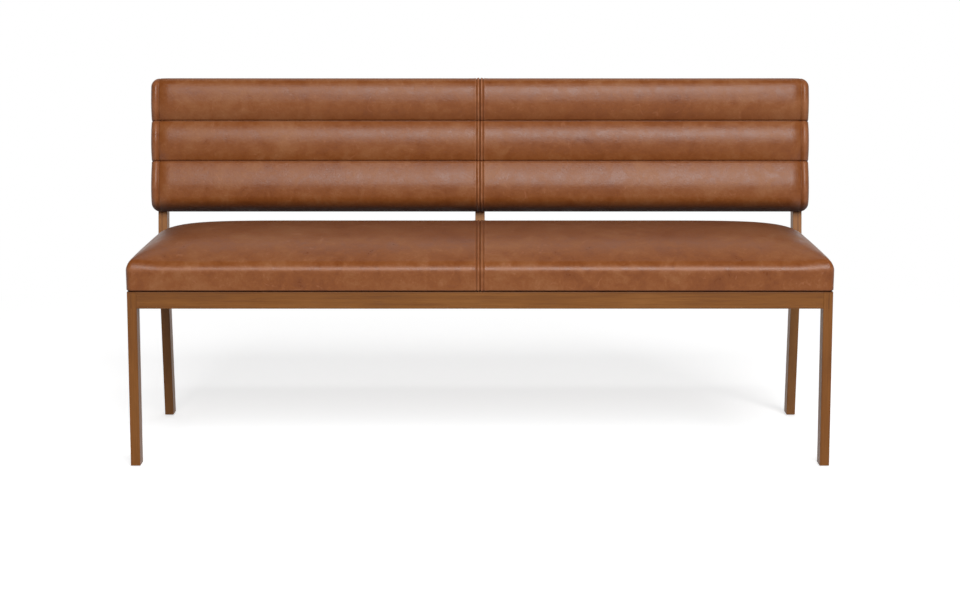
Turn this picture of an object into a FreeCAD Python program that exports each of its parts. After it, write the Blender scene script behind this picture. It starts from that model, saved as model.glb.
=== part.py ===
import FreeCAD, Part
import math
import os
import Sketcher

# Upholstered banquette bench: a fixed wooden frame that carries a crowned leather
# seat and a channelled leather back pad.
# X runs along the bench, +Y to its back and +Z up. The origin is on the floor under
# the middle of the whole bench. Lengths along Y are first measured back from the
# front face of the front legs, and each piece's Placement then moves it to the origin.

SIZES = (
    # frame
    ("frame_width", 1524, "over the outer faces of the legs"),
    ("stock_width", 20.8, "thickness of the boards for legs and rails"),
    ("front_leg_depth", 41.5, "front leg, front to back"),
    ("rear_leg_depth", 42.4, "rear leg and post, front to back, measured level"),
    ("rail_height", 36.5, "height of all rails"),
    ("rail_top", 385.3, "top of the rails above the floor"),
    ("knee_rise", 11.7, "bend of the rear leg above the rails"),
    ("knee_setback", 494.3, "front of the front leg to the front of the bend"),
    ("foot_setback", 55.7, "rear foot behind the bend"),
    ("post_height", 770, "top of the posts above the floor"),
    ("post_setback", 57.1, "top of the posts behind the bend"),
    ("knee_radius", 40, "rounding of the bend"),
    ("edge_radius", 1.2, "easing of the long edges"),
    ("centre_post_width", 22.4, "middle post, side to side"),
    ("cross_rail_spacing", 508, "between the middle lines of the cross rails"),
    # joints of the frame
    ("tenon_thickness", 7, "thickness of every tenon"),
    ("tenon_shoulder", 6, "rail left above and below a tenon"),
    ("side_tenon", 20, "length of the side rails' tenons"),
    ("end_tenon", 12, "length of the front and back rails' tenons"),
    ("cross_tenon", 9, "length of the cross rails' tenons"),
    ("post_housing", 5, "middle post let into the back rail"),
    ("joint_clearance", 0.1, "play between a tenon and its mortise"),
    ("mortise_spare", 0.5, "mortise deeper than its tenon"),
    ("overrun", 4, "how far a cut runs past the face it enters"),
    # corner blocks
    ("block_side", 62, "both short sides of a corner block"),
    ("block_height", 30, "height of a corner block"),
    ("block_screw_place", 38, "side screws from the block's square corner"),
    ("block_screw_wood", 14, "block under a side screw's head"),
    ("seat_screw_place", 20, "upright screw from the block's square corner"),
    ("seat_screw_wood", 18, "wood under an upright screw's head"),
    ("cross_screw_place", 120, "cross rail screw from the rail's end"),
    # screws, bolts and glides
    ("screw_radius", 2.1, "screw's shank"),
    ("screw_head_radius", 4.1, "screw's head"),
    ("screw_head_height", 2.6, "screw's head"),
    ("screw_tip", 4, "length of a screw's or nail's point"),
    ("screw_clearance", 0.1, "play round a shank, nut or nail"),
    ("head_clearance", 0.5, "play round a head or washer"),
    ("block_screw_bite", 15, "side screw in the rail"),
    ("seat_screw_bite", 9.5, "upright screw in the seat board"),
    ("post_screw_wood", 16, "middle post under its screws' heads"),
    ("post_screw_bite", 10, "middle post's screw in the back rail"),
    ("post_screw_spread", 20, "between the middle post's two screws"),
    ("bolt_radius", 3, "back bolt's shank"),
    ("bolt_head_radius", 5.3, "back bolt's head"),
    ("bolt_head_height", 3, "back bolt's head"),
    ("bolt_recess", 6, "washer's seat below the post's rear face"),
    ("bolt_tip_gap", 1.5, "bolt's end behind the back board's front"),
    ("lower_bolt_place", 60, "lower bolts above the pad's lower edge"),
    ("upper_bolt_place", 225, "upper bolts above the pad's lower edge"),
    ("washer_radius", 6, "washer under a bolt's head"),
    ("washer_thickness", 1.2, "washer under a bolt's head"),
    ("nut_barrel_radius", 4, "tee nut's barrel"),
    ("nut_barrel_length", 9, "tee nut's barrel"),
    ("nut_flange_radius", 9, "tee nut's flange"),
    ("nut_flange_thickness", 1.4, "tee nut's flange"),
    ("glide_radius", 8.5, "nail-on foot glide"),
    ("glide_height", 2.5, "nail-on foot glide"),
    ("glide_edge", 1, "rounding of a glide's lower edge"),
    ("nail_radius", 1.1, "glide's nail"),
    ("nail_head_radius", 3, "glide's nail"),
    ("nail_head_height", 1.2, "glide's nail"),
    ("nail_bite", 14, "glide's nail in the foot"),
    # seat
    ("leather", 1.2, "thickness of the leather"),
    ("dust_cloth", 1, "thickness of the dust cloth under the seat"),
    ("soft_clearance", 0.3, "between foam and what it touches"),
    ("board_thickness", 12, "seat board and back board"),
    ("seat_overhang", 2.8, "seat's shoulder past the frame"),
    ("seat_draw", 4.8, "seat's foot inside its shoulder"),
    ("seat_back_gap", 0.7, "seat's foot before the bend of the rear leg"),
    ("seat_shoulder", 433, "top of the seat's upright sides above the floor"),
    ("seat_roll", 15, "rounding of the seat's upper edge"),
    ("seat_corner", 14, "seat's corners seen from above"),
    ("seat_slope_reach", 65, "breadth of the slope inside the rolled edge"),
    ("seat_slope_rise", 36.5, "rise of that slope"),
    ("seat_slope_end", 120, "from the seat's end to the slope's full rise"),
    ("seat_crown", 25, "rise of the seat's middle above the slope"),
    ("seat_crown_reach", 250, "from the seat's end to its full height"),
    ("seat_hem", 32, "leather turned under the seat board"),
    ("seam_depth", 1.5, "middle seam below the leather beside it"),
    ("seam_reach", 7, "from the middle seam to the leather's full height"),
    ("least_curve", 0.2, "smallest rise that is still drawn as an arc"),
    # back pad
    ("pad_overhang", 11.5, "back pad past the outer faces of the legs"),
    ("pad_bottom", 501, "pad's rear lower edge above the floor"),
    ("pad_thickness", 54, "pad before the posts"),
    ("lower_channel", 118.2, "height of the lowest channel"),
    ("middle_channel", 95.1, "height of the middle channel"),
    ("upper_channel", 100.1, "height of the top channel"),
    ("channel_depth", 8, "sewn line below the crest of a channel"),
    ("pad_roll", 13, "rounding of the pad's upper and lower front edges"),
    ("pad_end_roll", 14, "rounding of the pad's front edges at its ends"),
    ("pad_top_corner", 21, "pad's upper corners seen from the front"),
    ("pad_bottom_corner", 17, "pad's lower corners seen from the front"),
    ("pad_hem", 28, "leather turned behind the back board"),
    ("rear_cover_inset", 8, "rear cover inside the pad's outline"),
)

doc = FreeCAD.newDocument("banquette_bench")
sizes = doc.addObject("Spreadsheet::Sheet", "sizes")
for row, (alias, number, meaning) in enumerate(SIZES, start=1):
    sizes.set("A%d" % row, meaning)
    sizes.set("B%d" % row, str(number))
    sizes.setAlias("B%d" % row, alias)
doc.recompute()

# Places that several pieces share, worked out from the sizes.
PLACES = (
    ("outer_half", "sizes.frame_width / 2"),
    ("inner_half", "sizes.frame_width / 2 - sizes.stock_width"),
    ("pad_width", "sizes.frame_width + 2 * sizes.pad_overhang"),
    ("knee_height", "sizes.rail_top + sizes.knee_rise"),
    ("rail_bottom", "sizes.rail_top - sizes.rail_height"),
    ("tenon_bottom", "places.rail_bottom + sizes.tenon_shoulder"),
    ("tenon_height", "sizes.rail_height - 2 * sizes.tenon_shoulder"),
    ("back_rail_front", "sizes.knee_setback - sizes.stock_width"),
    ("rake", "sizes.foot_setback / (places.knee_height - sizes.glide_height)"),
    ("lean", "sizes.post_setback / (sizes.post_height - places.knee_height)"),
    ("lean_angle", "atan(places.lean) / 1 deg"),
    ("square_depth", "sizes.rear_leg_depth / (1 + places.lean ^ 2)"),
    ("foot_reach", "sizes.foot_setback + sizes.rear_leg_depth"),
    ("post_reach", "sizes.post_setback + places.square_depth"),
    ("rear_reach", "sizes.knee_setback + max(places.foot_reach; places.post_reach)"),
    ("middle", "(places.rear_reach - sizes.seat_overhang) / 2"),
    ("pad_foot", "sizes.knee_setback + places.lean * (sizes.pad_bottom - places.knee_height)"),
    ("pad_length", "sizes.lower_channel + sizes.middle_channel + sizes.upper_channel"),
)

places = doc.addObject("App::VarSet", "places")
for name, formula in PLACES:
    places.addProperty("App::PropertyFloat", name, "", "")
for name, formula in PLACES:
    places.setExpression(name, formula)
doc.recompute()

vector = FreeCAD.Vector
up = vector(0, 0, 1)
across = vector(1, 0, 0)
nodes = []


def node(piece, label):
    """Give a finished piece its own name and keep it for the hand-in."""
    piece.Label = label
    nodes.append(piece)
    return piece


def stand(piece, label):
    """A piece of the frame or seat, moved so that the origin is under the middle."""
    piece.setExpression("Placement.Base.y", "-places.middle")
    return node(piece, label)


def lean_back(piece, label):
    """A piece of the back pad, drawn upright on its rear face, leant on the posts."""
    piece.Placement = FreeCAD.Placement(vector(0, 0, 0), FreeCAD.Rotation(across, -places.lean_angle))
    piece.setExpression("Placement.Rotation.Angle", "-places.lean_angle * 1 deg")
    piece.setExpression("Placement.Base.y", "places.pad_foot - places.middle")
    piece.setExpression("Placement.Base.z", "sizes.pad_bottom")
    return node(piece, label)


def mirrored(piece, label):
    """The left-hand twin of a right-hand piece."""
    twin = doc.addObject("Part::Mirroring", label)
    twin.Source = piece
    twin.Normal = across
    return node(twin, label)


def new_body(name):
    return doc.addObject("PartDesign::Body", name)


def outline(body, role, corners, offset="0"):
    """A closed outline on an origin plane, each corner tied to the sizes."""
    sketch = body.newObject("Sketcher::SketchObject", body.Name + "_outline")
    plane = next(item for item in body.Origin.OriginFeatures if item.Role == role)
    sketch.AttachmentSupport = [(plane, "")]
    sketch.MapMode = "FlatFace"
    sketch.setExpression("AttachmentOffset.Base.z", offset)
    points = []
    for first, second in corners:
        points.append(vector(places.evalExpression(first), places.evalExpression(second), 0))
    for index, point in enumerate(points):
        following = (index + 1) % len(points)
        sketch.addGeometry(Part.LineSegment(point, points[following]), False)
    for index, corner in enumerate(corners):
        following = (index + 1) % len(points)
        sketch.addConstraint(Sketcher.Constraint("Coincident", index, 2, following, 1))
        for kind, formula, distance in zip(("DistanceX", "DistanceY"), corner, points[index]):
            if formula == "0":
                axis = -2 if kind == "DistanceX" else -1
                sketch.addConstraint(Sketcher.Constraint("PointOnObject", index, 1, axis))
            else:
                number = sketch.addConstraint(Sketcher.Constraint(kind, -1, 1, index, 1, distance))
                sketch.setExpression("Constraints[%d]" % number, formula)
    doc.recompute()
    return sketch


def rectangle(low_x, high_x, low_y, high_y):
    return ((low_x, low_y), (high_x, low_y), (high_x, high_y), (low_x, high_y))


def extrude(body, sketch, length, cut=False):
    """Pad or pocket an outline along its plane's normal."""
    kind = "PartDesign::Pocket" if cut else "PartDesign::Pad"
    before = 0 if body.Tip is None else body.Tip.Shape.Volume
    feature = body.newObject(kind, body.Name + "_step")
    feature.Profile = sketch
    feature.setExpression("Length", length)
    feature.Reversed = cut
    doc.recompute()
    change = feature.Shape.Volume - before
    if (change < 0) != cut or change == 0:
        raise ValueError("%s: a step changed nothing" % body.Name)
    return feature


def ease(body, radius, wanted):
    """Round the edges of a body that the wanted test picks."""
    base = body.Tip
    names = []
    for number, edge in enumerate(base.Shape.Edges, start=1):
        if wanted(edge):
            names.append("Edge%d" % number)
    fillet = body.newObject("PartDesign::Fillet", body.Name + "_eased")
    fillet.Base = (base, names)
    fillet.setExpression("Radius", radius)
    doc.recompute()


def runs_along(direction):
    """A test for straight edges in one direction."""
    def wanted(edge):
        span = edge.Vertexes[-1].Point - edge.Vertexes[0].Point
        straight = edge.Curve.TypeId == "Part::GeomLine"
        return straight and span.cross(direction).Length < sizes.joint_clearance
    return wanted


def turned(profile):
    """A solid turned about Z from (radius, height) corners."""
    points = [vector(radius, 0, height) for radius, height in profile]
    face = Part.Face(Part.makePolygon(points + points[:1]))
    return face.revolve(vector(0, 0, 0), up)


def spread(shape, spots):
    """Copies of a shape, each with its Z axis along a direction at a place."""
    copies = []
    for place, direction in spots:
        copy = shape.copy()
        copy.Placement = FreeCAD.Placement(vector(*place), FreeCAD.Rotation(up, vector(*direction)))
        copies.append(copy)
    return Part.makeCompound(copies)


def both_sides(spots):
    """The same spots on the right and on the left."""
    left = [((-x, y, z), (-dx, dy, dz)) for (x, y, z), (dx, dy, dz) in spots]
    return spots + left


def solid_feature(name, shape):
    feature = doc.addObject("Part::Feature", name)
    feature.Shape = shape
    return feature


def drilled(piece, tool_shape, name):
    """A piece with holes cut into it."""
    tool = solid_feature(name + "_drill", tool_shape)
    cut = doc.addObject("Part::Cut", name + "_drilled")
    cut.Base = piece
    cut.Tool = tool
    doc.recompute()
    return cut


# Screws are drawn with the underside of the head at the origin and the shank down Z.

def screw(length):
    head = sizes.screw_head_radius
    top = sizes.screw_head_height
    shank = sizes.screw_radius
    return turned((
        (0, top), (head - top / 2, top), (head, top / 2), (head, 0), (shank, 0),
        (shank, sizes.screw_tip - length), (0, -length)))


def screw_hole(length, run):
    """The room for a screw: its shank's hole, and a wider bore for the head."""
    shank = sizes.screw_radius + sizes.screw_clearance
    head = sizes.screw_head_radius + sizes.head_clearance
    end = -length - sizes.screw_clearance
    return turned(((0, run), (head, run), (head, 0), (shank, 0), (shank, end), (0, end)))


block_screw_length = sizes.block_screw_wood + sizes.block_screw_bite
seat_screw_length = sizes.seat_screw_wood + sizes.leather + sizes.seat_screw_bite
post_screw_length = sizes.post_screw_wood + sizes.post_housing + sizes.post_screw_bite
block_middle = sizes.rail_top - sizes.block_height / 2

# The frame's two right-hand corners: where the rail's inner face is, and which way
# along Y leads from it into the seat.
front_corner = (sizes.stock_width, 1)
rear_corner = (places.back_rail_front, -1)


def rail_screw_spots(rail_face, inward):
    """Screws through a corner block along Y into the front or back rail."""
    head = rail_face + inward * sizes.block_screw_wood
    return [((places.inner_half - sizes.block_screw_place, head, block_middle), (0, inward, 0))]


def side_screw_spots(rail_face, inward):
    """Screws through a corner block along X into the side rail."""
    line = rail_face + inward * sizes.block_screw_place
    return [((places.inner_half - sizes.block_screw_wood, line, block_middle), (-1, 0, 0))]


def deck_screw_spots(rail_face, inward):
    """Upright screws through a corner block into the seat board."""
    line = rail_face + inward * sizes.seat_screw_place
    height = sizes.rail_top - sizes.seat_screw_wood
    return [((places.inner_half - sizes.seat_screw_place, line, height), (0, 0, -1))]


def cross_screw_spots(middle_line):
    """Upright screws through a cross rail into the seat board."""
    height = sizes.rail_top - sizes.seat_screw_wood
    first = sizes.stock_width + sizes.cross_screw_place
    last = places.back_rail_front - sizes.cross_screw_place
    return [((middle_line, line, height), (0, 0, -1)) for line in (first, last)]


front_screws = both_sides(rail_screw_spots(*front_corner))
rear_screws = both_sides(rail_screw_spots(*rear_corner))
side_screws = side_screw_spots(*front_corner) + side_screw_spots(*rear_corner)
block_hole = screw_hole(block_screw_length, sizes.block_side)
seat_hole = screw_hole(seat_screw_length, sizes.rail_height)

# The cross rails' middle lines, as a formula and as a number.
CROSS_LINES = (
    ("left", "-sizes.cross_rail_spacing / 2", -sizes.cross_rail_spacing / 2),
    ("right", "sizes.cross_rail_spacing / 2", sizes.cross_rail_spacing / 2),
)
deck_screws = both_sides(deck_screw_spots(*front_corner) + deck_screw_spots(*rear_corner))
for side, formula, middle_line in CROSS_LINES:
    deck_screws += cross_screw_spots(middle_line)

post_screws = []
for sign in (-1, 1):
    height = (places.rail_bottom + sizes.rail_top) / 2 + sign * sizes.post_screw_spread / 2
    post_screws.append(((0, sizes.knee_setback + sizes.post_screw_wood, height), (0, 1, 0)))

# The back bolts, in the pad's own upright frame: rear face of the pad at Y zero.
post_depth = sizes.rear_leg_depth * math.cos(math.radians(places.lean_angle))
bolt_seat = post_depth - sizes.bolt_recess
board_rear = 2 * sizes.leather
board_front = board_rear + sizes.board_thickness
bolt_length = bolt_seat + sizes.washer_thickness + board_front - sizes.bolt_tip_gap
post_lines = (-places.outer_half + sizes.stock_width / 2, 0, places.outer_half - sizes.stock_width / 2)
bolt_spots = []
nut_spots = []
for line in post_lines:
    for height in (sizes.lower_bolt_place, sizes.upper_bolt_place):
        bolt_spots.append(((line, bolt_seat, height), (0, 1, 0)))
        nut_spots.append(((line, -board_front, height), (0, -1, 0)))

bolt_bore = sizes.bolt_radius + sizes.screw_clearance
recess_bore = sizes.washer_radius + sizes.head_clearance
bolt_hole = turned((
    (0, sizes.bolt_recess + sizes.overrun), (recess_bore, sizes.bolt_recess + sizes.overrun),
    (recess_bore, 0), (bolt_bore, 0), (bolt_bore, -bolt_length - sizes.overrun),
    (0, -bolt_length - sizes.overrun)))
nut_bore = sizes.nut_barrel_radius + sizes.screw_clearance
flange_bore = sizes.nut_flange_radius + sizes.screw_clearance
nut_hole = turned((
    (0, sizes.overrun), (flange_bore, sizes.overrun), (flange_bore, -sizes.nut_flange_thickness),
    (nut_bore, -sizes.nut_flange_thickness), (nut_bore, -board_front), (0, -board_front)))
pad_tilt = FreeCAD.Placement(
    vector(0, places.pad_foot, sizes.pad_bottom), FreeCAD.Rotation(across, -places.lean_angle))


def bolt_drill(tilted):
    """The bolts' holes, tilted as on the posts, or upright as the pad is drawn."""
    holes = spread(bolt_hole, bolt_spots)
    if tilted:
        holes.Placement = pad_tilt
    return holes


# Glides are drawn with the foot's sole at the origin and the nail up Z.
rear_foot_line = sizes.knee_setback + places.foot_reach - sizes.rear_leg_depth / 2
leg_line = places.outer_half - sizes.stock_width / 2
foot_spots = both_sides([
    ((leg_line, sizes.front_leg_depth / 2, sizes.glide_height), (0, 0, 1)),
    ((leg_line, rear_foot_line, sizes.glide_height), (0, 0, 1))])
nail_seat = sizes.nail_head_height - sizes.glide_height
nail_bore = sizes.nail_radius + sizes.screw_clearance
nail_recess = sizes.nail_head_radius + sizes.screw_clearance
nail_hole = turned((
    (0, -sizes.glide_height), (nail_bore, -sizes.glide_height),
    (nail_bore, sizes.nail_bite + sizes.mortise_spare), (0, sizes.nail_bite + sizes.mortise_spare)))
foot_drill = spread(nail_hole, foot_spots)

# Front legs: straight, with a mortise for the front rail and one for the side rail.

def tenon_slot(body, low_y, high_y, rise=""):
    """A mortise for a side rail's tenon, in the middle of a leg's thickness."""
    low = "places.tenon_bottom - sizes.joint_clearance"
    high = "places.tenon_bottom + places.tenon_height + sizes.joint_clearance"
    slot = outline(body, "YZ_Plane", (
        (low_y % {"height": low}, low), (high_y % {"height": low}, low),
        (high_y % {"height": high}, high), (low_y % {"height": high}, high)),
        "places.outer_half - (sizes.stock_width + sizes.tenon_thickness) / 2 - sizes.joint_clearance")
    extrude(body, slot, "sizes.tenon_thickness + 2 * sizes.joint_clearance", cut=True)


def end_slot(body, rail_front):
    """A mortise in the end frame's inner face for the front or back rail."""
    middle = rail_front + " + sizes.stock_width / 2"
    half = "(sizes.tenon_thickness / 2 + sizes.joint_clearance)"
    slot = outline(body, "XY_Plane", rectangle(
        "places.inner_half - sizes.overrun",
        "places.inner_half + sizes.end_tenon + sizes.mortise_spare",
        "%s - %s" % (middle, half), "%s + %s" % (middle, half)),
        "places.tenon_bottom - sizes.joint_clearance")
    extrude(body, slot, "places.tenon_height + 2 * sizes.joint_clearance", cut=True)


front_leg = new_body("front_leg")
section = outline(front_leg, "XY_Plane", rectangle(
    "places.inner_half", "places.outer_half", "0", "sizes.front_leg_depth"), "sizes.glide_height")
extrude(front_leg, section, "sizes.rail_top - sizes.glide_height")
ease(front_leg, "sizes.edge_radius", runs_along(up))
tenon_slot(front_leg, "sizes.front_leg_depth - sizes.side_tenon - sizes.mortise_spare",
           "sizes.front_leg_depth + sizes.overrun")
end_slot(front_leg, "0")
front_leg_right = stand(drilled(front_leg, foot_drill, "front_leg"), "front_leg_right")
mirrored(front_leg_right, "front_leg_left")

# Rear legs: one board each, bent at the knee, raked below it and leaning back above.

LEG_LINE = "sizes.knee_setback + places.rake * (places.knee_height - (%(height)s))"
post_outline = (
    ("sizes.knee_setback + sizes.post_setback", "sizes.post_height"),
    ("sizes.knee_setback + places.post_reach", "sizes.post_height - places.lean * places.square_depth"))

rear_leg = new_body("rear_leg")
profile = outline(rear_leg, "YZ_Plane", (
    ("sizes.knee_setback + sizes.foot_setback", "sizes.glide_height"),
    ("sizes.knee_setback", "places.knee_height"),
    post_outline[0], post_outline[1],
    ("sizes.knee_setback + sizes.rear_leg_depth", "places.knee_height"),
    ("sizes.knee_setback + places.foot_reach", "sizes.glide_height")), "places.inner_half")
extrude(rear_leg, profile, "sizes.stock_width")


def at_knee(edge):
    level = abs(edge.CenterOfMass.z - places.knee_height) < sizes.joint_clearance
    return level and runs_along(across)(edge)


def off_across(edge):
    return not runs_along(across)(edge)


ease(rear_leg, "sizes.knee_radius", at_knee)
ease(rear_leg, "sizes.edge_radius", off_across)
tenon_slot(rear_leg, LEG_LINE + " - sizes.overrun",
           LEG_LINE + " + sizes.side_tenon + sizes.mortise_spare")
leg_drill = Part.makeCompound([bolt_drill(tilted=True), foot_drill])
rear_leg_right = stand(drilled(rear_leg, leg_drill, "rear_leg"), "rear_leg_right")
mirrored(rear_leg_right, "rear_leg_left")

# Middle post: the same lean, its foot let into the back rail's rear face.

centre_post = new_body("centre_post_blank")
housing_floor = "sizes.knee_setback - sizes.post_housing"
profile = outline(centre_post, "YZ_Plane", (
    (housing_floor, "places.rail_bottom"), (housing_floor, "sizes.rail_top"),
    ("sizes.knee_setback", "sizes.rail_top"), ("sizes.knee_setback", "places.knee_height"),
    post_outline[0], post_outline[1],
    ("sizes.knee_setback + sizes.rear_leg_depth", "places.knee_height"),
    ("sizes.knee_setback + sizes.rear_leg_depth", "places.rail_bottom")),
    "-sizes.centre_post_width / 2")
extrude(centre_post, profile, "sizes.centre_post_width")
ease(centre_post, "sizes.edge_radius", off_across)
post_hole = screw_hole(post_screw_length, sizes.rear_leg_depth)
post_drill = Part.makeCompound([bolt_drill(tilted=True), spread(post_hole, post_screws)])
stand(drilled(centre_post, post_drill, "centre_post"), "centre_post")

# Front and back rails: between the end frames, with a tenon at each end and mortises
# for the cross rails in the inner face.

def long_rail(name, rail_front, inner_face, into_rail, out_of_rail):
    body = new_body(name + "_blank")
    rail_rear = rail_front + " + sizes.stock_width"
    bar = outline(body, "XY_Plane", rectangle(
        "-places.inner_half", "places.inner_half", rail_front, rail_rear), "places.rail_bottom")
    extrude(body, bar, "sizes.rail_height")
    ease(body, "sizes.edge_radius", runs_along(across))
    middle = rail_front + " + sizes.stock_width / 2"
    tenon = outline(body, "XY_Plane", rectangle(
        "-places.inner_half - sizes.end_tenon", "places.inner_half + sizes.end_tenon",
        middle + " - sizes.tenon_thickness / 2", middle + " + sizes.tenon_thickness / 2"),
        "places.tenon_bottom")
    extrude(body, tenon, "places.tenon_height")
    reach = inner_face + into_rail + "(sizes.cross_tenon + sizes.mortise_spare)"
    past = inner_face + out_of_rail + "sizes.overrun"
    half = "(sizes.tenon_thickness / 2 + sizes.joint_clearance)"
    for side, line, number in CROSS_LINES:
        slot = outline(body, "XY_Plane", rectangle(
            "%s - %s" % (line, half), "%s + %s" % (line, half), reach, past),
            "places.tenon_bottom - sizes.joint_clearance")
        extrude(body, slot, "places.tenon_height + 2 * sizes.joint_clearance", cut=True)
    return body


front_rail = long_rail("front_rail", "0", "sizes.stock_width", " - ", " + ")
stand(drilled(front_rail, spread(block_hole, front_screws), "front_rail"), "front_rail")
back_rail = long_rail(
    "back_rail", "places.back_rail_front", "places.back_rail_front", " + ", " - ")
half_housing = "(sizes.centre_post_width / 2 + sizes.joint_clearance)"
housing = outline(back_rail, "XY_Plane", rectangle(
    "-" + half_housing, half_housing, housing_floor, "sizes.knee_setback + sizes.overrun"),
    "places.rail_bottom")
extrude(back_rail, housing, "sizes.rail_height", cut=True)
back_drill = Part.makeCompound([spread(block_hole, rear_screws), spread(post_hole, post_screws)])
stand(drilled(back_rail, back_drill, "back_rail"), "back_rail")

# Side rails: between the front and rear legs, the rear shoulder cut to the leg's rake,
# with a mortise for the back rail in the inner face.

side_rail = new_body("side_rail")
bottom_line = LEG_LINE % {"height": "places.rail_bottom"}
top_line = LEG_LINE % {"height": "sizes.rail_top"}
profile = outline(side_rail, "YZ_Plane", (
    ("sizes.front_leg_depth", "places.rail_bottom"), (bottom_line, "places.rail_bottom"),
    (top_line, "sizes.rail_top"), ("sizes.front_leg_depth", "sizes.rail_top")), "places.inner_half")
extrude(side_rail, profile, "sizes.stock_width")
ease(side_rail, "sizes.edge_radius", runs_along(vector(0, 1, 0)))
tenon_low = "places.tenon_bottom"
tenon_high = "places.tenon_bottom + places.tenon_height"
tenon_front = "sizes.front_leg_depth - sizes.side_tenon"
tenon = outline(side_rail, "YZ_Plane", (
    (tenon_front, tenon_low), (LEG_LINE % {"height": tenon_low} + " + sizes.side_tenon", tenon_low),
    (LEG_LINE % {"height": tenon_high} + " + sizes.side_tenon", tenon_high),
    (tenon_front, tenon_high)), "places.outer_half - (sizes.stock_width + sizes.tenon_thickness) / 2")
extrude(side_rail, tenon, "sizes.tenon_thickness")
end_slot(side_rail, "places.back_rail_front")
side_rail_right = stand(
    drilled(side_rail, spread(block_hole, side_screws), "side_rail"), "side_rail_right")
mirrored(side_rail_right, "side_rail_left")

# Cross rails: from the front rail to the back rail under the seat board.

for side, line, number in CROSS_LINES:
    body = new_body("cross_rail_%s_blank" % side)
    bar = outline(body, "XY_Plane", rectangle(
        line + " - sizes.stock_width / 2", line + " + sizes.stock_width / 2",
        "sizes.stock_width", "places.back_rail_front"), "places.rail_bottom")
    extrude(body, bar, "sizes.rail_height")
    tenon = outline(body, "XY_Plane", rectangle(
        line + " - sizes.tenon_thickness / 2", line + " + sizes.tenon_thickness / 2",
        "sizes.stock_width - sizes.cross_tenon", "places.back_rail_front + sizes.cross_tenon"),
        "places.tenon_bottom")
    extrude(body, tenon, "places.tenon_height")
    drill = spread(seat_hole, cross_screw_spots(number))
    stand(drilled(body, drill, "cross_rail_" + side), "cross_rail_" + side)

# Corner blocks: three-cornered, glued and screwed into the frame's inner corners.

for end, corner, face, into_seat in (
        ("front", front_corner, "sizes.stock_width", " + "),
        ("rear", rear_corner, "places.back_rail_front", " - ")):
    body = new_body("corner_block_%s" % end)
    triangle = outline(body, "XY_Plane", (
        ("places.inner_half", face), ("places.inner_half", face + into_seat + "sizes.block_side"),
        ("places.inner_half - sizes.block_side", face)), "sizes.rail_top - sizes.block_height")
    extrude(body, triangle, "sizes.block_height")
    side_holes = rail_screw_spots(*corner) + side_screw_spots(*corner)
    drill = Part.makeCompound([
        spread(block_hole, side_holes), spread(seat_hole, deck_screw_spots(*corner))])
    block = stand(drilled(body, drill, "corner_block_" + end), "corner_block_%s_right" % end)
    mirrored(block, "corner_block_%s_left" % end)

# Screws of the frame.

side_pairs = both_sides(side_screws)
block_set = spread(screw(block_screw_length), front_screws + rear_screws + side_pairs)
stand(solid_feature("block_screws", block_set), "corner_block_screws")
seat_set = spread(screw(seat_screw_length), deck_screws)
stand(solid_feature("seat_screws", seat_set), "seat_board_screws")
post_set = spread(screw(post_screw_length), post_screws)
stand(solid_feature("post_screws", post_set), "centre_post_screws")

# Foot glides, each held by one nail.

edge = sizes.glide_edge
glide = turned((
    (nail_bore, 0), (sizes.glide_radius, 0), (sizes.glide_radius, edge - sizes.glide_height),
    (sizes.glide_radius - edge, -sizes.glide_height), (nail_recess, -sizes.glide_height),
    (nail_recess, nail_seat), (nail_bore, nail_seat)))
stand(solid_feature("glides", spread(glide, foot_spots)), "foot_glides")
nail_low = sizes.mortise_spare - sizes.glide_height
nail = turned((
    (0, nail_low), (sizes.nail_head_radius, nail_low), (sizes.nail_head_radius, nail_seat),
    (sizes.nail_radius, nail_seat), (sizes.nail_radius, sizes.nail_bite - sizes.screw_tip),
    (0, sizes.nail_bite)))
stand(solid_feature("nails", spread(nail, foot_spots)), "glide_nails")

# Soft forms are lofts through sections across the bench. A section is a closed run of
# (Y, Z, rise) corners, where rise is how far the edge to the next corner bows out.

def section_wire(line, corners):
    edges = []
    for index, (y, z, rise) in enumerate(corners):
        next_y, next_z, next_rise = corners[(index + 1) % len(corners)]
        start = vector(line, y, z)
        end = vector(line, next_y, next_z)
        if rise == 0:
            edges.append(Part.LineSegment(start, end).toShape())
        else:
            side = across.cross(end - start).normalize()
            crest = (start + end) / 2 + side * rise
            edges.append(Part.Arc(start, crest, end).toShape())
    return Part.Wire(edges)


def rounding(distance, radius):
    """How far a rounded edge has dropped at a distance from its end."""
    left = max(0, radius - distance)
    return radius - math.sqrt(radius ** 2 - left ** 2)


def corner_rise(radius, turn):
    """The rise of an arc of one radius over a turn in radians."""
    return radius * (1 - math.cos(turn / 2))


def arc_slope(rise, chord):
    """The angle between an arc and its chord where they meet."""
    return 2 * math.atan(2 * rise / chord)


# Sections stand at these shares of the end rounding, and of the rest of the half.
ROUNDING_SHARES = (0, 0.06, 0.25, 0.6, 1)
CROWN_SHARES = (0.07, 0.18, 0.33, 0.55, 0.78, 1)


def loft_lines(half, rounded, reach):
    """Places of the sections across the whole bench, the middle seam among them."""
    right = [half - share * rounded for share in ROUNDING_SHARES]
    right += [half - rounded - share * (reach - rounded) for share in CROWN_SHARES]
    right += [sizes.seam_reach, 0]
    return right + [-line for line in reversed(right[:-1])]


def lofted(lines, section_at):
    """A closed form through the sections at these places, from right to left."""
    solid = Part.makeLoft([section_wire(line, section_at(line)) for line in lines], True, True)
    if solid.Volume < 0:
        solid.reverse()
    return solid


# A cushion's rise grows from its ends by this power of the distance still to go, and
# this share of the draw of its sides is bowed.
FILL_POWER = 3
BOW_SHARE = 0.3


def filled(distance, reach):
    """The share of its full rise that a cushion has at a distance from its end."""
    return 1 - (1 - min(1, distance / reach)) ** FILL_POWER


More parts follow.
